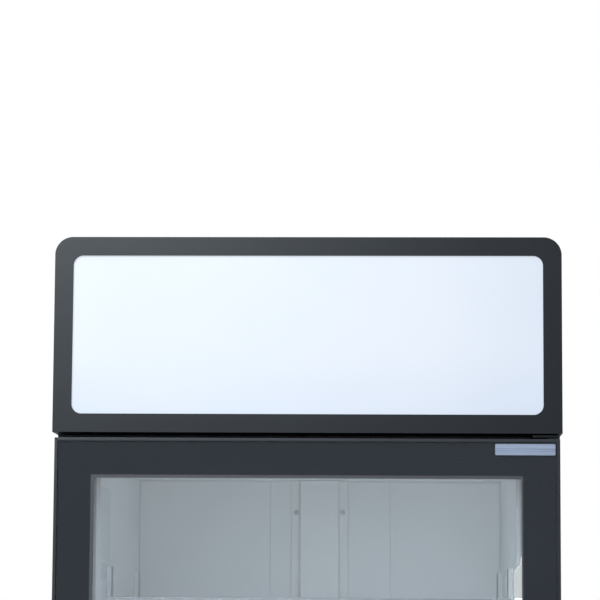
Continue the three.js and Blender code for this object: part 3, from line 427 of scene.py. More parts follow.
class Piece:
    """A mesh put together from simple solids, then placed on a CAD body."""

    def __init__(self):
        self.bm = bmesh.new()

    def ring(self, points):
        return [self.bm.verts.new(point) for point in points]

    def bridge(self, a, b):
        """Faces between two matching rings."""
        for i in range(len(a)):
            j = (i + 1) % len(a)
            self.bm.faces.new((a[i], a[j], b[j], b[i]))

    def loft(self, loops, closed=False):
        """Skins matching loops of points. A closed loft joins its last loop to its first."""
        rings = [self.ring(loop) for loop in loops]
        for a, b in zip(rings, rings[1:]):
            self.bridge(a, b)
        if closed:
            self.bridge(rings[-1], rings[0])
        else:
            self.bm.faces.new(list(reversed(rings[0])))
            self.bm.faces.new(rings[-1])
        return self

    def box(self, low, high):
        (x0, y0, z0), (x1, y1, z1) = low, high
        ring = ((x0, y0), (x1, y0), (x1, y1), (x0, y1))
        return self.loft([[(x, y, z) for x, y in ring] for z in (z0, z1)])

    def prism(self, axis, outline, start, end):
        """An outline in the plane across an axis, in (y, z), (x, z) or (x, y), carried along it."""
        order = {"x": (2, 0, 1), "y": (0, 2, 1), "z": (0, 1, 2)}[axis]
        loops = [[(*point, level) for point in outline] for level in (start, end)]
        return self.loft([[tuple(point[i] for i in order) for point in loop] for loop in loops])

    def tube(self, path, radius, sides=10, closed=False):
        """A round bar along a path."""
        points = [Vector(p) for p in path]
        last = len(points) - 1
        loops = []
        side = None
        for i, point in enumerate(points):
            before = points[i - 1] if closed or i else point
            after = points[(i + 1) % len(points)] if closed or i < last else point
            along = (after - before).normalized()
            if side is None:
                side = along.orthogonal().normalized()
            side = (side - along * side.dot(along)).normalized()
            other = along.cross(side)
            loops.append([point + radius * (math.cos(t) * side + math.sin(t) * other) for t in turns(sides)])
        return self.loft(loops, closed)

    def lathe(self, profile, centre, axis="z", sides=32):
        """(radius, distance) pairs turned about an axis through centre. The radius is zero at both ends."""
        middle = Vector(centre)
        along, u, v = AXES[axis]
        rings = []
        for radius, distance in profile[1:-1]:
            hub = middle + along * distance
            rings.append(self.ring(hub + radius * (math.cos(t) * u + math.sin(t) * v) for t in turns(sides)))
        for a, b in zip(rings, rings[1:]):
            self.bridge(a, b)
        for (_, distance), ring in ((profile[0], rings[0]), (profile[-1], rings[-1])):
            tip = self.bm.verts.new(middle + along * distance)
            for i in range(sides):
                self.bm.faces.new((tip, ring[(i + 1) % sides], ring[i]))
        return self

    def frame(self, section, low, high):
        """A mitred frame round a rectangle in (x, z). The section holds (distance outwards, y) pairs."""
        (x0, z0), (x1, z1) = low, high
        corners = ((x0, z0, -1, -1), (x1, z0, 1, -1), (x1, z1, 1, 1), (x0, z1, -1, 1))
        loops = [[(x + sx * out, y, z + sz * out) for out, y in section] for x, z, sx, sz in corners]
        return self.loft(loops, closed=True)

    def make(self, name, body, finish, bevel=0.0, stands_for=(), round_below=35.0, slot=None):
        bmesh.ops.recalc_face_normals(self.bm, faces=self.bm.faces)
        mesh = bpy.data.meshes.new(name)
        self.bm.to_mesh(mesh)
        self.bm.free()
        mesh.materials.append(finish)
        mesh.shade_smooth()
        mesh.set_sharp_from_angle(angle=math.radians(round_below))
        made = bpy.data.objects.new(name, mesh)
        bpy.context.scene.collection.objects.link(made)
        if bevel:
            soften(made, bevel, round_below)
        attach(made, body)
        if stands_for:
            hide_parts(*stands_for)


# Radius and height round a screw's head, as shares of its radius, ending in the recess.
SCREW_HEAD = ((0, 0), (1, 0), (1, 0.165), (0.75, 0.4675), (0.45, 0.55), (0.12, 0.2475), (0, 0.22))


def screws(name, places, out, radius):
    """Pan-head screws on a face whose outward normal is out, each with a round recess."""
    piece = Piece()
    letter = "xyz"[[abs(part) for part in out].index(1)]
    profile = [(r * radius, sum(out) * height * radius) for r, height in SCREW_HEAD]
    for place in places:
        piece.lathe(profile, place, letter, 12)
    piece.make(name, "cabinet", SCREW)


# ---- Canopy ----
def canopy():
    dress("canopy_frame", CANOPY, 1.0 * MM)
    dress("sign_panel", lit_sign("sign_opal", "sign_panel"), 0.4 * MM)
    dress("led_tray", BOARD, 0.4 * MM)
    low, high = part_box("canopy_frame")
    middle_y = (low.y + high.y) / 2
    sunk = 0.6 * MM
    places = [(x, middle_y, low.z + sunk) for x in spread(low.x + 50 * MM, high.x - 60 * MM, 4)]
    screws("canopy_screws", places, (0, 0, -1), 2.6 * MM)


# ---- Body ----
def body_shell():
    for node in ("left_side_panel", "right_side_panel", "top_panel"):
        dress(node, STEEL, 0.3 * MM)
    dress("rear_panel", beaded_sheet("rear_sheet"))
    dress("front_collar", collar_paint("collar_paint"))
    dress("foam_insulation", FOAM)
    dress("inner_liner", LINER)

    low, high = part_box("rear_panel")
    sunk = REAR - 1.6 * MM
    heights = spread(low.z + 30 * MM, high.z - 30 * MM, 7)
    edges = [(x, sunk, z) for x in (low.x + 12 * MM, high.x - 12 * MM) for z in heights]
    screws("rear_panel_screws", edges, (0, 1, 0), 2.8 * MM)

    low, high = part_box("top_panel")
    half = 6 * MM
    seams = Piece()
    for x in (low.x + 14 * MM, high.x - 14 * MM):
        front, rear = low.y + 10 * MM, high.y - 10 * MM
        seams.box((x - half, front, high.z - 0.9 * MM), (x + half, rear, high.z - 0.1 * MM))
    seams.make("top_seams", "cabinet", STEEL, 0.2 * MM)


# ---- Storage space ----
# Distance from the collar, width, rise above the top shelf, and height of each label.
BLANK_LABELS = (
    (4 * MM, 112 * MM, 45.5 * MM, 90 * MM),
    (11 * MM, 58 * MM, 21.5 * MM, 20 * MM),
)


def storage_walls():
    """Cladding sheets on the rear wall with fine seams, and two blank labels on the left wall."""
    duct_low, duct_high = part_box("rear_duct_cover")
    wall = duct_high.y + 0.3 * MM
    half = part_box("ceiling_drip_tray")[1].x
    seams = (-half, -70 * MM, duct_low.x - 1 * MM), (duct_high.x + 1 * MM, 100 * MM, half)
    gap = 0.4 * MM
    sheets = Piece()
    for edges in seams:
        for left, right in zip(edges, edges[1:]):
            low = (left + gap, wall - 1.4 * MM, duct_low.z - 6 * MM)
            sheets.box(low, (right - gap, wall - 0.1 * MM, duct_high.z + 8 * MM))
    sheets.make("rear_wall_sheets", "cabinet", LINER, 0.5 * MM)

    wall = -half - 0.5 * MM
    by_the_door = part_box("front_collar")[1].y
    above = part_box("wire_shelf_1")[1].z
    labels = Piece()
    for inset, wide, rise, tall in BLANK_LABELS:
        near, low = by_the_door + inset, above + rise
        labels.box((wall + 0.05 * MM, near, low), (wall + 0.35 * MM, near + wide, low + tall))
    labels.make("blank_labels", "cabinet", LABEL, 0.1 * MM)


def duct_cover():
    """A folded cover over the rear duct, up to the ceiling tray, with a pair of screws by each shelf."""
    low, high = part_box("rear_duct_cover")
    flange, raised = high.x, high.x - 13 * MM
    sheet = 1.2 * MM
    left = [(-flange, high.y - sheet), (-raised - 2 * MM, high.y - sheet), (-raised, low.y)]
    front = left + [(-x, y) for x, y in reversed(left)]
    back = [(x * (1 if abs(x) == flange else 0.965), y + sheet) for x, y in front]
    ceiling_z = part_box("ceiling_drip_tray")[0].z - 0.5 * MM
    cover = Piece().prism("z", front + list(reversed(back)), low.z, ceiling_z)
    cover.make("duct_cover", "cabinet", SHEET, 0.5 * MM, ["rear_duct_cover"])

    shelf_tops = [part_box(node)[1].z for node in SHELVES]
    step = shelf_tops[0] - shelf_tops[1]
    first = shelf_tops[0] + 124 * MM
    places = [(x, high.y - sheet, first - step * i) for i in range(5) for x in (-33 * MM, 33 * MM)]
    screws("duct_screws", places, (0, -1, 0), 3.7 * MM)


RAIL_WIDTH = 22 * MM
RAIL_DEPTH = 7.5 * MM
RAIL_SHEET = 1.2 * MM
RAIL_PITCH = 25 * MM
SLOT = (7 * MM, 13 * MM)  # width and height of a slot in a shelf rail


def shelf_rail(node):
    """A slotted channel against a side wall, with a bent clip under each shelf."""
    low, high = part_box(node)
    side = 1 if low.x > 0 else -1
    wall = max(abs(low.x), abs(high.x))
    face = side * (wall - RAIL_DEPTH)
    web_x = sorted((face, face + side * RAIL_SHEET))
    lip_x = sorted((face, side * wall))
    y0, y1 = low.y, low.y + RAIL_WIDTH
    middle = (y0 + y1) / 2
    slot_y = middle - SLOT[0] / 2, middle + SLOT[0] / 2
    bridge = RAIL_PITCH - SLOT[1]
    strip = Piece()
    for near, far in ((y0, slot_y[0]), (slot_y[1], y1)):
        strip.box((web_x[0], near, low.z), (web_x[1], far, high.z))
    for i in range(int((high.z - low.z) / RAIL_PITCH) + 1):
        z0 = low.z + i * RAIL_PITCH - bridge / 2
        bottom, top = max(z0, low.z), min(z0 + bridge, high.z)
        if top > bottom:
            strip.box((web_x[0], slot_y[0], bottom), (web_x[1], slot_y[1], top))
    for y in (y0, y1 - RAIL_SHEET):
        strip.box((lip_x[0], y, low.z), (lip_x[1], y + RAIL_SHEET, high.z))
    strip.make(node.replace("shelf", "slotted"), "cabinet", LINER, 0.0, [node])

    profile = mm((0.1, 7), (1.7, 7), (1.7, 0), (9, 0), (9, -1.6), (1.7, -1.8), (0.1, -5))
    clips = Piece()
    for shelf_node in SHELVES:
        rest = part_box(shelf_node)[1].z - 10.3 * MM
        outline = [(face - side * out, rest + rise) for out, rise in profile]
        clips.prism("y", outline, middle - 8 * MM, middle + 8 * MM)
    clips.make(node.replace("shelf_rail", "shelf_clips"), "cabinet", SCREW, 0.3 * MM)


# ---- Shelves ----
FRAME_WIRE = 3 * MM
CROSS_WIRE = 2 * MM
DECK_WIRE = 1.6 * MM
DECK_WIRES = 27
TICKET_LIP = 3.2 * MM  # depth of the strip's lips in front of the card


def shelf(number, node):
    """A coated wire deck with the ticket rail along its front."""
    low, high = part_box(node)
    half = high.x - 4 * MM
    front = low.y + 4 * MM
    top = high.z - 4 * MM
    rim = rounded(
        -half + FRAME_WIRE, half - FRAME_WIRE, front + FRAME_WIRE, high.y - FRAME_WIRE, 12 * MM, 6
    )
    deck = Piece()
    deck.tube([(x, y, top - FRAME_WIRE) for x, y in rim], FRAME_WIRE, closed=True)
    for x in spread(-half + 18 * MM, half - 18 * MM, DECK_WIRES):
        ends = [(x, front + 2 * MM, top - DECK_WIRE), (x, high.y - 2 * MM, top - DECK_WIRE)]
        deck.tube(ends, DECK_WIRE, 8)
    for y in spread(front + 70 * MM, high.y - 70 * MM, 3):
        ends = [(-half + 3 * MM, y, top - 4 * MM), (half - 3 * MM, y, top - 4 * MM)]
        deck.tube(ends, CROSS_WIRE, 8)
    body = f"shelf_{number}"
    deck.make(f"shelf_wires_{number}", body, COATED, 0.0, [node])
    ticket_rail(number, body, low, high)


def ticket_rail(number, body, low, high):
    """A strip with a lip above and below, and the blank card held behind them."""
    back = low.y + 4.4 * MM
    rail = [
        (low.y + TICKET_LIP, low.z + 3 * MM),
        (low.y, low.z + 5 * MM),
        (low.y, low.z + 1 * MM),
        (low.y + 1 * MM, low.z),
        (back, low.z),
        (back, high.z),
        (low.y + 1 * MM, high.z),
        (low.y, high.z - 1 * MM),
        (low.y, high.z - 4 * MM),
        (low.y + TICKET_LIP, high.z - 2.5 * MM),
    ]
    strip = Piece().prism("x", rail, low.x, high.x)
    strip.make(f"ticket_rail_{number}", body, TICKET, 0.25 * MM)
    card = Piece().box(
        (low.x + 3 * MM, low.y + 2.4 * MM, low.z + 3.6 * MM),
        (high.x - 3 * MM, low.y + 3.1 * MM, high.z - 3.2 * MM),
    )
    card.make(f"ticket_card_{number}", body, CARD, 0.1 * MM)


# ---- Lamp ----
def lamp():
    """An upright tube behind the collar, in a bright channel with a bevelled cap at each end."""
    low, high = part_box("lamp_housing")
    lit_low, lit_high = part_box("lamp_diffuser")
    back = BODY_FRONT - 0.3 * MM
    edge = lit_low.x - 0.8 * MM
    outer = lit_high.x
    inner = edge + 0.6 * MM
    bottom, top = low.z + 20 * MM, high.z - 20 * MM
    channel = Piece()
    channel.box((inner, back - 0.4 * MM, bottom), (outer - 2.7 * MM, BODY_FRONT + 2 * MM, top))
    channel.box((inner, back, bottom), (edge + 3.1 * MM, high.y, top))
    channel.make("lamp_channel", "cabinet", SILVER, 0.3 * MM, ["lamp_housing"])

    caps = Piece()
    for start, out in ((lit_high.z + 0.3 * MM, MM), (lit_low.z - 0.3 * MM, -MM)):
        outline = [
            (edge, start),
            (outer, start),
            (outer, start + 49.5 * out),
            (outer - 3.7 * MM, start + 49.5 * out),
            (outer - 3.7 * MM, start + 40 * out),
            (edge, start + 32 * out),
        ]
        caps.prism("y", outline, low.y, back)
    caps.make("lamp_caps", "cabinet", CAP, 0.7 * MM)

    left = edge + 0.8 * MM
    shoulder, crest = lit_low.y + 2.2 * MM, lit_low.y + 0.4 * MM
    crown = [(left, lit_high.y), (left, shoulder), (edge + 3 * MM, crest), (outer - 3 * MM, crest)]
    crown += [(outer, shoulder), (outer, lit_high.y)]
    glow = light_tube("diffuser", (0.80, 0.92, 1.0), 0.55)
    tube = Piece().prism("z", crown, lit_low.z, lit_high.z)
    tube.make("lamp_tube", "cabinet", glow, 0.6 * MM, ["lamp_diffuser"])


# ---- Ceiling of the storage space ----
def ceiling():
    dress("ceiling_drip_tray", SHEET)
    dress("evaporator_coil", FIN)
    dress("evaporator_fan_motor", MOULDED, 0.5 * MM)
    dress("evaporator_fan_blade", MOULDED, 0.3 * MM)
    low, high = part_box("evaporator_fan_motor")
    centre = ((low + high) / 2).xy
    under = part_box("ceiling_drip_tray")[0].z - 2.5 * MM
    guard = Piece()
    for radius in spread(14 * MM, 70 * MM, 8):
        ring = arc(centre, radius, 0, 360, 41)[:-1]
        guard.tube([(x, y, under) for x, y in ring], 0.9 * MM, 6, closed=True)
    for degrees in (0, 45, 90, 135):
        ends = [on_circle(centre, 73 * MM, degrees + half) for half in (0, 180)]
        guard.tube([(x, y, under + 1.4 * MM) for x, y in ends], 1.1 * MM, 6)
    guard.make("fan_guard", "cabinet", COATED)


# ---- Door ----
BORDER = 45.2 * MM  # door edge to the clear window
RIM_SHADE_WIDTH = 3.4 * MM  # width of the grey band inside the printed border: the spacer's own grey with painted shade of the window's inner faces
RIM_SHADE_RIGHT = 1.4 * MM  # its width on the hinge side, narrower because that inner face is lit
SEAL_WIDTH = 19.5  # across the seal's section, in millimetres as its points are
BADGE = (73 * MM, 14 * MM, 1.2 * MM)  # width, height and thickness


def door():
    for node in ("door_stile_left", "door_stile_right", "door_rail_top", "door_rail_bottom"):
        dress(node, DOOR_FRAME, 0.7 * MM)
    dress("front_glass", GLASS)
    dress("rear_glass", GLASS, 0.3 * MM)
    dress("glass_spacer", pierced_spacer("spacer_bar"), 0.3 * MM)
    dress("door_inner_frame", LINING, 0.8 * MM)
    window_border()
    door_seal()
    badge()
    handle()


def window_border():
    """The border printed inside the front pane, and a thin grey band between it and the clear window: the
    spacer's own grey with painted shade of the window's inner faces, narrower on the lit hinge side.
    """
    low, high = DOOR
    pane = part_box("front_glass")
    window = (low.x + BORDER, low.z + BORDER), (high.x - BORDER, high.z - BORDER)
    right, top = window[1]
    width = pane[1].x - right
    overlap = 0.4 * MM
    fused, face = pane[1].y - 0.30 * MM, pane[1].y - 0.05 * MM
    ink = [(overlap, fused), (width, fused), (width, face), (overlap, face)]
    Piece().frame(ink, *window).make("glass_border", "door", PRINT)
    outer, inner = 0.35 * MM, -RIM_SHADE_WIDTH
    fused, face = fused + 0.05 * MM, face - 0.05 * MM
    rim = [(outer, fused), (inner, fused), (inner, face), (outer, face)]
    # The grey band is painted shade, partly the spacer's own grey, and narrower on the lit hinge side.
    Piece().frame(rim, window[0], (right + RIM_SHADE_WIDTH - RIM_SHADE_RIGHT, top)).make("glass_rim", "door", PAINTED_RIM_SHADE)


def door_seal():
    """Bellows between the door and the collar."""
    low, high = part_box("door_gasket")
    width = SEAL_WIDTH * MM
    inner = (low.x + width, low.z + width), (high.x - width, high.z - width)
    half = [(2, 0), (2, 1.5), (7, 2), (6, 3.5), (7.5, 4.6), (3, 5.2), (0, 6), (0, 9.4)]
    section = half + [(SEAL_WIDTH - u, d) for u, d in reversed(half)]
    bellows = [(u, low.y + d) for u, d in mm(*section)]
    Piece().frame(bellows, *inner).make("door_seal", "door", GASKET, 0.2 * MM, ["door_gasket"], slot="rubber")


def badge():
    """A plain metal plate on the glass, at the door's top right."""
    low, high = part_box("front_glass")
    width, height, thick = BADGE
    right, top = high.x - 1.2 * MM, DOOR[1].z - 6 * MM
    outline = rounded(right - width, right, top - height, top, 1.5 * MM)
    plate = Piece().prism("y", outline, low.y - thick, low.y - 0.05 * MM)
    plate.make("badge_plate", "door", BADGE_FINISH, 0.4 * MM)


GRIP_THICK = 13 * MM
BEND = 40 * MM  # rise of the handle's quarter turn at each end
BEND_STEPS = 10


def handle_path(low, high):
    """(y, z) points up the middle of the bow: a quarter turn, the grip, and a quarter turn back."""
    out = low.y + GRIP_THICK / 2
    start = low.z + 15 * MM
    bend = []
    for turn in spread(0, math.pi / 2, BEND_STEPS + 1):
        y = high.y - (high.y - out) * math.sin(turn)
        bend.append((y, start + BEND * (1 - math.cos(turn))))
    grip = start + BEND + 15 * MM
    straight = [(out, z) for z in spread(grip, low.z + high.z - grip, 14)]
    return bend + straight + [(y, low.z + high.z - z) for y, z in reversed(bend)]


def handle():
    """A bow with flared feet and a section between an oval and a rectangle."""
    low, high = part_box("door_handle")
    half = (high.x - low.x) / 2
    middle_x = (low.x + high.x) / 2
    power = 3.2
    path = handle_path(low, high)
    last = len(path) - 1
    loops = []
    for i, (y, z) in enumerate(path):
        before, after = path[max(i - 1, 0)], path[min(i + 1, last)]
        along = Vector((after[0] - before[0], after[1] - before[1])).normalized()
        if i in (0, last):
            along = Vector((-1 if i == 0 else 1, 0))
        from_end = min(i, last - i) / BEND_STEPS
        flare = 1 + 1.15 * max(0.0, 1 - from_end) ** 2
        loop = []
        for turn in turns(20):
            c, s = math.cos(turn), math.sin(turn)
            bulge = (abs(c) ** power + abs(s) ** power) ** (-1 / power)
            offset = GRIP_THICK / 2 * flare * bulge * s
            loop.append((middle_x + half * bulge * c, y + along.y * offset, z - along.x * offset))
        loops.append(loop)
    Piece().loft(loops).make("bow_handle", "door", MOULDED, 0.0, ["door_handle"], 50.0)


def hinges():
    for node in ("upper_hinge", "lower_hinge"):
        dress(node, STEEL, 0.5 * MM)
    upper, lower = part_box("upper_hinge"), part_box("lower_hinge")
    pin_x = DOOR[1].x - 8.5 * MM
    pin_y = FRONT + 20 * MM
    bore, rim = 4.2 * MM, 8 * MM
    washers = Piece()
    for face, out in ((DOOR[1].z, MM), (DOOR[0].z, -MM)):
        near, far = face + 0.1 * out, face + 2.2 * out
        profile = [(bore, near), (rim, near), (rim, far), (bore, far)]
        rays = [(math.cos(t), math.sin(t)) for t in turns(28)]
        loops = [[(pin_x + r * c, pin_y + r * s, z) for r, z in profile] for c, s in rays]
        washers.loft(loops, closed=True)
    washers.make("hinge_washers", "door", NYLON, 0.3 * MM)
    flange = upper[1].y - 3 * MM
    middle = (upper[0].x + upper[1].x) / 2
    places = [(middle + dx, flange, upper[0].z + dz) for dx in (-8 * MM, 8 * MM) for dz in (18 * MM, 36 * MM)]
    screws("upper_hinge_screws", places, (0, -1, 0), 3.4 * MM)
    y = (pin_y + lower[1].y) / 2 + 6 * MM
    under = [(middle + dx, y, lower[0].z) for dx in (-9 * MM, 9 * MM)]
    screws("lower_hinge_screws", under, (0, 0, -1), 3.2 * MM)


# ---- Kick panel and controls ----
DIGIT = (5 * MM, 10 * MM)  # width and height of a digit on the display
SEGMENTS = {"3": "abcdg", "4": "bcfg"}
LOUVRE_ROWS = 11
LOUVRE_FIRST = 76 * MM
LOUVRE_PITCH = 15 * MM
SWITCH_HEIGHT = 281 * MM  # the rocker leans at rest, so its own box is off the hole's middle


def kick_panel():
    dress("kick_panel", MOULDED)
    low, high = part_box("kick_panel")
    louvres(low.y)
    controller()
    light_switch(low.y)
    dress("door_lock", SCREW, 0.4 * MM)
    edge = 14 * MM
    ends = [(x, low.y, z) for x in (low.x + edge, high.x - edge) for z in (low.z + edge, high.z - 40 * MM)]
    screws("kick_screws", ends, (0, -1, 0), 2.8 * MM)


def louvres(face):
    """A sloping blade behind each opening, in two banks."""
    section = mm((3.2, 7.8), (4.2, 8.4), (13, -2.2), (12, -2.8))
    half = 124 * MM
    blades = Piece()
    for x in (-136 * MM, 136 * MM):
        for row in range(LOUVRE_ROWS):
            z = LOUVRE_FIRST + LOUVRE_PITCH * row
            slope = [(face + depth, z + rise) for depth, rise in section]
            blades.prism("x", slope, x - half, x + half)
    blades.make("louvre_blades", "cabinet", MOULDED, 0.2 * MM)


def seven_segments(piece, digit, x, z, face):
    """The lit bars of one digit, as on any such display."""
    width, height = DIGIT
    bar = 0.16 * width
    middle = z + height / 2
    level = {"a": z + height, "g": middle, "d": z}
    upright = {"f": (x, middle), "b": (x + width, middle), "c": (x + width, z)}
    for name in SEGMENTS[digit]:
        if name in level:
            left, right = x + bar, x + width - bar
            bottom, top = level[name] - bar / 2, level[name] + bar / 2
        else:
            left, right = upright[name][0] - bar / 2, upright[name][0] + bar / 2
            bottom, top = upright[name][1] + bar, upright[name][1] + height / 2 - bar
        piece.box((left, face - 0.1 * MM, bottom), (right, face, top))


def controller():
    dress("controller_body", GLOSSY, 0.8 * MM)
    low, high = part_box("controller_body")
    middle = (low.z + high.z) / 2
    screen = low.y + 0.6 * MM
    half = 9.6 * MM
    window = Piece().box((-33.6 * MM, screen - 0.35 * MM, middle - half), (-4.4 * MM, screen, middle + half))
    window.make("display_window", "cabinet", GLOSSY, 0.2 * MM)
    digits = Piece()
    for digit, x in (("3", -27 * MM), ("4", -15 * MM)):
        seven_segments(digits, digit, x, middle - DIGIT[1] / 2, screen - 0.36 * MM)
    digits.make("display_digits", "cabinet", light_tube("display_light", (0.25, 0.9, 0.75), 1.2))
    for number, corners, turn in ((1, 3, 90), (2, 3, -90), (3, 16, 0)):
        node = f"controller_button_{number}"
        dress(node, PALE, 0.5 * MM)
        low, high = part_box(node)
        centre = (low.x + high.x) / 2, (low.z + high.z) / 2
        mark = arc(centre, 1.7 * MM, turn, turn + 360, corners + 1)[:-1]
        icon = Piece().prism("y", mark, low.y - 0.15 * MM, low.y + 0.2 * MM)
        icon.make(f"button_mark_{number}", f"button_{number}", MOULDED, 0.1 * MM)


def light_switch(face):
    dress("light_switch_rocker", GLOSSY, 0.5 * MM)
    low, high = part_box("light_switch_rocker")
    middle = (low.x + high.x) / 2
    half_x, half_z = 8 * MM, 14 * MM
    hole = (middle - half_x, SWITCH_HEIGHT - half_z), (middle + half_x, SWITCH_HEIGHT + half_z)
    bezel = [(out, face - rise) for out, rise in mm((0, 1.4), (1.5, 1.6), (3, 0), (0, 0))]
    Piece().frame(bezel, *hole).make("switch_bezel", "cabinet", MOULDED, 0.3 * MM)


# ---- Machine compartment ----
def levelling_foot(side):
    """A pad with its threaded bolt and lock nut."""
    node, body = f"levelling_foot_{side}", f"foot_{side}"
    low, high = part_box(node)
    centre = (low.x + high.x) / 2, (low.y + high.y) / 2, 0
    pad = mm((0, 0), (18.5, 0), (20, 1.2), (20, 5), (17, 8.5), (12, 11), (9, 11.6), (0, 11.6))
    Piece().lathe(pad, centre, sides=40).make(f"foot_pad_{side}", body, NYLON, 0.0, [node])
    bolt = mm((0, 11), (5, 11)) + [(5 * MM, high.z - 1 * MM), (4 * MM, high.z), (0, high.z)]
    Piece().lathe(bolt, centre).make(f"foot_bolt_{side}", body, THREAD)
    nut = Piece().lathe(mm((0, 11.6), (9, 11.6), (9, 18), (0, 18)), centre, sides=6)
    nut.make(f"foot_nut_{side}", body, SCREW, 0.6 * MM, round_below=25.0)


def rear_roller(side):
    """A grooved wheel on a plain axle."""
    node, body = f"rear_roller_{side}", f"roller_{side}"
    low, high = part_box(node)
    centre = (low + high) / 2
    scale = centre.z / 18
    half = [(0, -10), (6, -10), (6, -8.5), (12, -8.5), (13, -10), (16.8, -10), (18, -8.6), (18, -1.2)]
    tread = half + [(17, -0.6), (17, 0.6)] + [(r, -d) for r, d in reversed(half)]
    wheel = Piece().lathe([(r * scale, d * MM) for r, d in tread], centre, "x", 48)
    wheel.make(f"roller_tyre_{side}", body, NYLON, 0.3 * MM, [node])
    axle = mm((0, -18), (3.4, -18), (4, -17.4), (4, 17.4), (3.4, 18), (0, 18))
    Piece().lathe(axle, centre, "x").make(f"roller_axle_{side}", body, SCREW)


PLATE_TOP = 67 * MM  # top of the compressor's mounting plate, above the floor


def compressor():
    """A round shell on a plate with four grommets, with its terminal cover and pipe stubs."""
    low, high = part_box("compressor")
    x = (low.x + high.x) / 2
    y = high.y - 82 * MM
    shell = mm((0, 66), (50, 66), (66, 70), (77, 80), (81, 96), (81.5, 128), (84, 130), (84, 136))
    shell += mm((81.5, 138), (81, 188), (77, 206), (66, 224), (48, 238), (24, 246), (0, 248))
    pot = Piece().lathe(shell, (x, y, 0), sides=48)
    pot.make("compressor_shell", "cabinet", GLOSSY, 0.0, ["compressor"])
    outline = rounded(low.x, high.x, y - 66 * MM, y + 66 * MM, 14 * MM)
    plate = Piece().prism("z", outline, PLATE_TOP - 3 * MM, PLATE_TOP)
    plate.make("compressor_plate", "cabinet", ZINC, 0.4 * MM)

    rubber = mm((0, 42.8), (12, 42.8), (12.5, 50), (9, 54), (12.5, 58), (12, 63.9), (0, 63.9))
    places = [(x + dx, y + dy) for dx in (-92 * MM, 92 * MM) for dy in (-52 * MM, 52 * MM)]
    grommets = Piece()
    for place in places:
        grommets.lathe(rubber, (*place, 0), sides=24)
    grommets.make("compressor_grommets", "cabinet", GASKET)
    bolts = [(*place, PLATE_TOP) for place in places]
    screws("compressor_bolts", bolts, (0, 0, 1), 6 * MM)

    outline = rounded(x - 30 * MM, x + 30 * MM, 110 * MM, 180 * MM, 6 * MM)
    cover = Piece().prism("y", outline, y - 108 * MM, y - 74 * MM)
    cover.make("terminal_cover", "cabinet", MOULDED, 1.5 * MM)
    stubs = Piece()
    for side_x, side_y, height in ((0, -1, 205), (0.9, 0.2, 150), (-0.85, 0.5, 130)):
        ends = [(x + reach * side_x, y + reach * side_y, height * MM) for reach in (60 * MM, 92 * MM)]
        stubs.tube(ends, 5.5 * MM, 14)
    stubs.make("compressor_stubs", "cabinet", COPPER)


FINS = 90
TUBE_ROWS = 6
COIL_END = 19.5 * MM  # from each side of the coil's box to its fins


def condenser_coil():
    """Thin fins across a bank of copper hairpins."""
    node = "condenser_coil"
    low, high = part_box(node)
    x0, x1 = low.x + COIL_END, high.x - COIL_END
    fin, plate = 0.4 * MM, 1.2 * MM
    fins = Piece()
    for x in spread(x0, x1 - fin, FINS):
        fins.box((x, low.y, low.z), (x + fin, high.y, high.z))
    fins.make("condenser_fins", "cabinet", FIN, 0.0, [node])
    ends = Piece()
    for x in (x0 - plate, x1):
        ends.box((x, low.y, low.z), (x + plate, high.y, high.z))
    ends.make("condenser_end_plates", "cabinet", ZINC, 0.2 * MM)

    inset = 12 * MM
    reach = (high.y - low.y) / 2 - inset
    squeeze = (COIL_END - 4.5 * MM) / reach
    bend = arc((0, (low.y + high.y) / 2), reach, -90, 90, 9)
    tubes = Piece()
    for z in spread(low.z + 2 * inset, high.z - 2 * inset, TUBE_ROWS):
        loop = [(x1 + x * squeeze, y, z) for x, y in bend]
        loop += [(x0 - x * squeeze, y, z) for x, y in reversed(bend)]
        tubes.tube(loop, 3.6 * MM, closed=True)
    tubes.make("condenser_tubes", "cabinet", COPPER)


FAN_HUB = 24 * MM
FAN_TIP = 95 * MM
BLADES = 5
BLADE_STEPS = 8


def blade_ring(centre, depth, blade, step):
    """Points round one section of a blade. It twists, narrows and leans forward towards its tip."""
    share = step / BLADE_STEPS
    radius = FAN_HUB - 2 * MM + (FAN_TIP - FAN_HUB) * share
    chord = (46 - 6 * share) * MM if step else 30 * MM
    pitch = math.radians(36 - 16 * share)
    sweep = 2 * math.pi * blade / BLADES + 0.35 * share
    limit = depth - 0.2 * MM
    ring = []
    for turn in turns(12):
        along, thick = chord / 2 * math.cos(turn), 0.8 * MM * math.sin(turn)
        flat = along * math.cos(pitch) - thick * math.sin(pitch)
        rise = along * math.sin(pitch) + thick * math.cos(pitch)
        rise = max(-limit, min(limit, rise))
        angle = sweep + flat / radius
        ring.append(centre + Vector((radius * math.cos(angle), rise, radius * math.sin(angle))))
    return ring


def condenser_fan():
    dress("condenser_fan_shroud", ZINC)
    dress("condenser_fan_motor", MOULDED, 0.6 * MM)
    low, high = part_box("condenser_fan_blade")
    axis_x, axis_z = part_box("condenser_fan_shroud")[0].x + 150 * MM, 182 * MM
    centre = Vector((axis_x, (low.y + high.y) / 2, axis_z))
    depth = (high.y - low.y) / 2
    hub = [(0, -depth), (19 * MM, -depth), (FAN_HUB, -depth + 4 * MM), (FAN_HUB, depth), (0, depth)]
    rotor = Piece().lathe(hub, centre, "y")
    for blade in range(BLADES):
        rotor.loft([blade_ring(centre, depth, blade, step) for step in range(BLADE_STEPS + 1)])
    rotor.make("fan_rotor", "condenser_fan", MOULDED, 0.0, ["condenser_fan_blade"], 45.0)


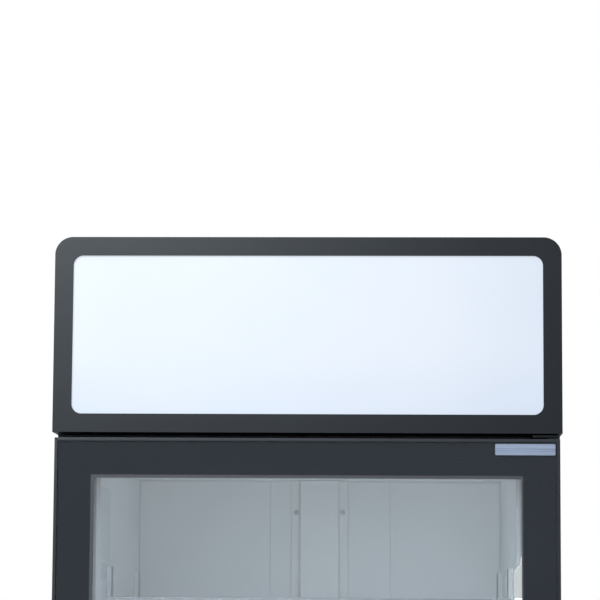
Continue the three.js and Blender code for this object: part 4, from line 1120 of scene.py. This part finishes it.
def machine_compartment():
    dress("base_tray", ZINC)
    dress("evaporation_tray", MOULDED, 0.6 * MM)
    dress("electrical_box", ZINC, 1.0 * MM)
    dress("discharge_pipe", COPPER, round_below=50.0)
    dress("suction_pipe", COPPER, round_below=50.0)
    dress("rear_guard", ZINC)
    dress("cable_gland", MOULDED, 0.5 * MM)
    for side in ("left", "right"):
        levelling_foot(side)
        rear_roller(side)
    compressor()
    condenser_coil()
    condenser_fan()
    low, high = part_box("rear_guard")
    columns, rows = (low.x + 12 * MM, 0, high.x - 12 * MM), (low.z + 12 * MM, high.z - 10 * MM)
    ends = [(x, high.y, z) for x in columns for z in rows]
    screws("rear_guard_screws", ends, (0, 1, 0), 2.9 * MM)
    low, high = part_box("electrical_box")
    edge = 10 * MM
    lid = [(x, high.y, z) for x in (low.x + edge, high.x - edge) for z in (low.z + edge, high.z - edge)]
    screws("electrical_box_screws", lid, (0, 1, 0), 2.6 * MM)


# ---- Studio ----
CAMERA = {"side": 0.1111, "back": 3.2, "height": 1.5194, "yaw": 2.148, "pitch": 6.908, "roll": 0.358}
LENS = 158.5  # millimetres, on a sensor 36 wide

# Name starts of what stands in the storage space, apart from its lamp.
STORAGE = (
    "front_collar", "inner_liner", "rear_wall", "blank_", "duct_",
    "slotted_", "shelf_", "ticket_", "ceiling_", "fan_",
)


def camera():
    yaw, pitch, roll = (math.radians(CAMERA[k]) for k in ("yaw", "pitch", "roll"))
    forward = Vector((-math.sin(yaw) * math.cos(pitch), math.cos(yaw) * math.cos(pitch), math.sin(pitch)))
    level = Vector((math.cos(yaw), math.sin(yaw), 0))
    rise = level.cross(forward)
    right = math.cos(roll) * level + math.sin(roll) * rise
    up = math.cos(roll) * rise - math.sin(roll) * level
    data = bpy.data.cameras.new("camera")
    data.lens = LENS
    data.sensor_width = 36
    eye = bpy.data.objects.new("camera", data)
    place = Matrix.Translation((CAMERA["side"], FRONT - CAMERA["back"], CAMERA["height"]))
    eye.matrix_world = place @ Matrix((right, up, -forward)).transposed().to_4x4()
    bpy.context.scene.collection.objects.link(eye)
    bpy.context.scene.camera = eye


def area_light(name, place, target, size, power, colour, beam=180):
    """A rectangular light that faces its target, with its beam's width in degrees."""
    data = bpy.data.lights.new(name, "AREA")
    data.shape = "RECTANGLE"
    data.size, data.size_y = size
    data.energy = power
    data.color = colour
    data.spread = math.radians(beam)
    light = bpy.data.objects.new(name, data)
    light.location = place
    light.rotation_euler = (Vector(target) - Vector(place)).to_track_quat("-Z", "Y").to_euler()
    light.visible_camera = False
    bpy.context.scene.collection.objects.link(light)
    return light


def shade_storage(light):
    """Keeps a light off the storage space, which its own lamp and the room light."""
    shaded = bpy.data.collections.new("shaded")
    for part in list(bpy.data.objects):
        if part.type == "MESH" and part.name.startswith(STORAGE):
            shaded.objects.link(part)
    for held in shaded.collection_objects:
        held.light_linking.link_state = "EXCLUDE"
    light.light_linking.receiver_collection = shaded


def room():
    """Cool light from all round, strongest from the upper left. The camera sees plain white in its place."""
    world = bpy.data.worlds.new("studio")
    world.use_nodes = True
    tree = world.node_tree
    direction = add_node(tree, "ShaderNodeTexCoord").outputs["Generated"]
    brightest = Vector((-0.60, -0.25, 0.76)).normalized()
    share = add_node(tree, "ShaderNodeVectorMath", {0: direction, 1: brightest}, operation="DOT_PRODUCT")
    inputs = {"Value": share.outputs["Value"], "From Min": -1.0, "To Min": 0.50, "To Max": 1.10}
    level = add_node(tree, "ShaderNodeMapRange", inputs)
    soft = tree.nodes["Background"]
    soft.inputs["Color"].default_value = (0.76, 0.88, 1.06, 1.0)
    tree.links.new(level.outputs[0], soft.inputs["Strength"])
    plain = add_node(tree, "ShaderNodeBackground", {"Color": (1, 1, 1, 1), "Strength": 1.0})
    ray = add_node(tree, "ShaderNodeLightPath").outputs
    looked_at = {0: ray["Is Camera Ray"], 1: ray["Is Transmission Ray"]}
    seen = add_node(tree, "ShaderNodeMath", looked_at, operation="MAXIMUM")
    shaders = {0: seen.outputs[0], 1: soft.outputs[0], 2: plain.outputs[0]}
    mixed = add_node(tree, "ShaderNodeMixShader", shaders)
    tree.links.new(mixed.outputs[0], tree.nodes["World Output"].inputs["Surface"])
    bpy.context.scene.world = world
    bpy.context.scene.view_settings.view_transform = "Standard"


def floor():
    bm = bmesh.new()
    bmesh.ops.create_grid(bm, x_segments=1, y_segments=1, size=30.0)
    mesh = bpy.data.meshes.new("floor")
    bm.to_mesh(mesh)
    bm.free()
    vinyl = grained("floor_vinyl", (0.67, 0.605, 0.53), (0.69, 0.62, 0.545), 0.60, 400, 0.01 * MM)
    mesh.materials.append(vinyl)
    sheet = bpy.data.objects.new("floor", mesh)
    bpy.context.scene.collection.objects.link(sheet)


def studio():
    """The room, the cabinet's own lamp and the floor. Gives back the key light."""
    room()
    key = area_light(
        "key", (-0.72, FRONT - 1.5, 2.68), (-0.2, FRONT, 1.85), (1.0, 0.5), 15.0, (0.90, 0.98, 1.06), 80
    )
    near_lamp = (0.13, BODY_FRONT + 0.04, 1.0)
    area_light("cabinet_lamp", near_lamp, (0.12, 0.27, 1.0), (0.20, 1.1), 1.12, (0.84, 1.00, 1.13))
    floor()
    return key


# ---- Everything ----
camera()
key_light = studio()
canopy()
body_shell()
storage_walls()
duct_cover()
for rail in [n for n in frame["nodes"] if n.startswith("shelf_rail")]:
    shelf_rail(rail)
for index, node_name in enumerate(SHELVES, 1):
    shelf(index, node_name)
lamp()
ceiling()
door()
hinges()
kick_panel()
machine_compartment()
shade_storage(key_light)
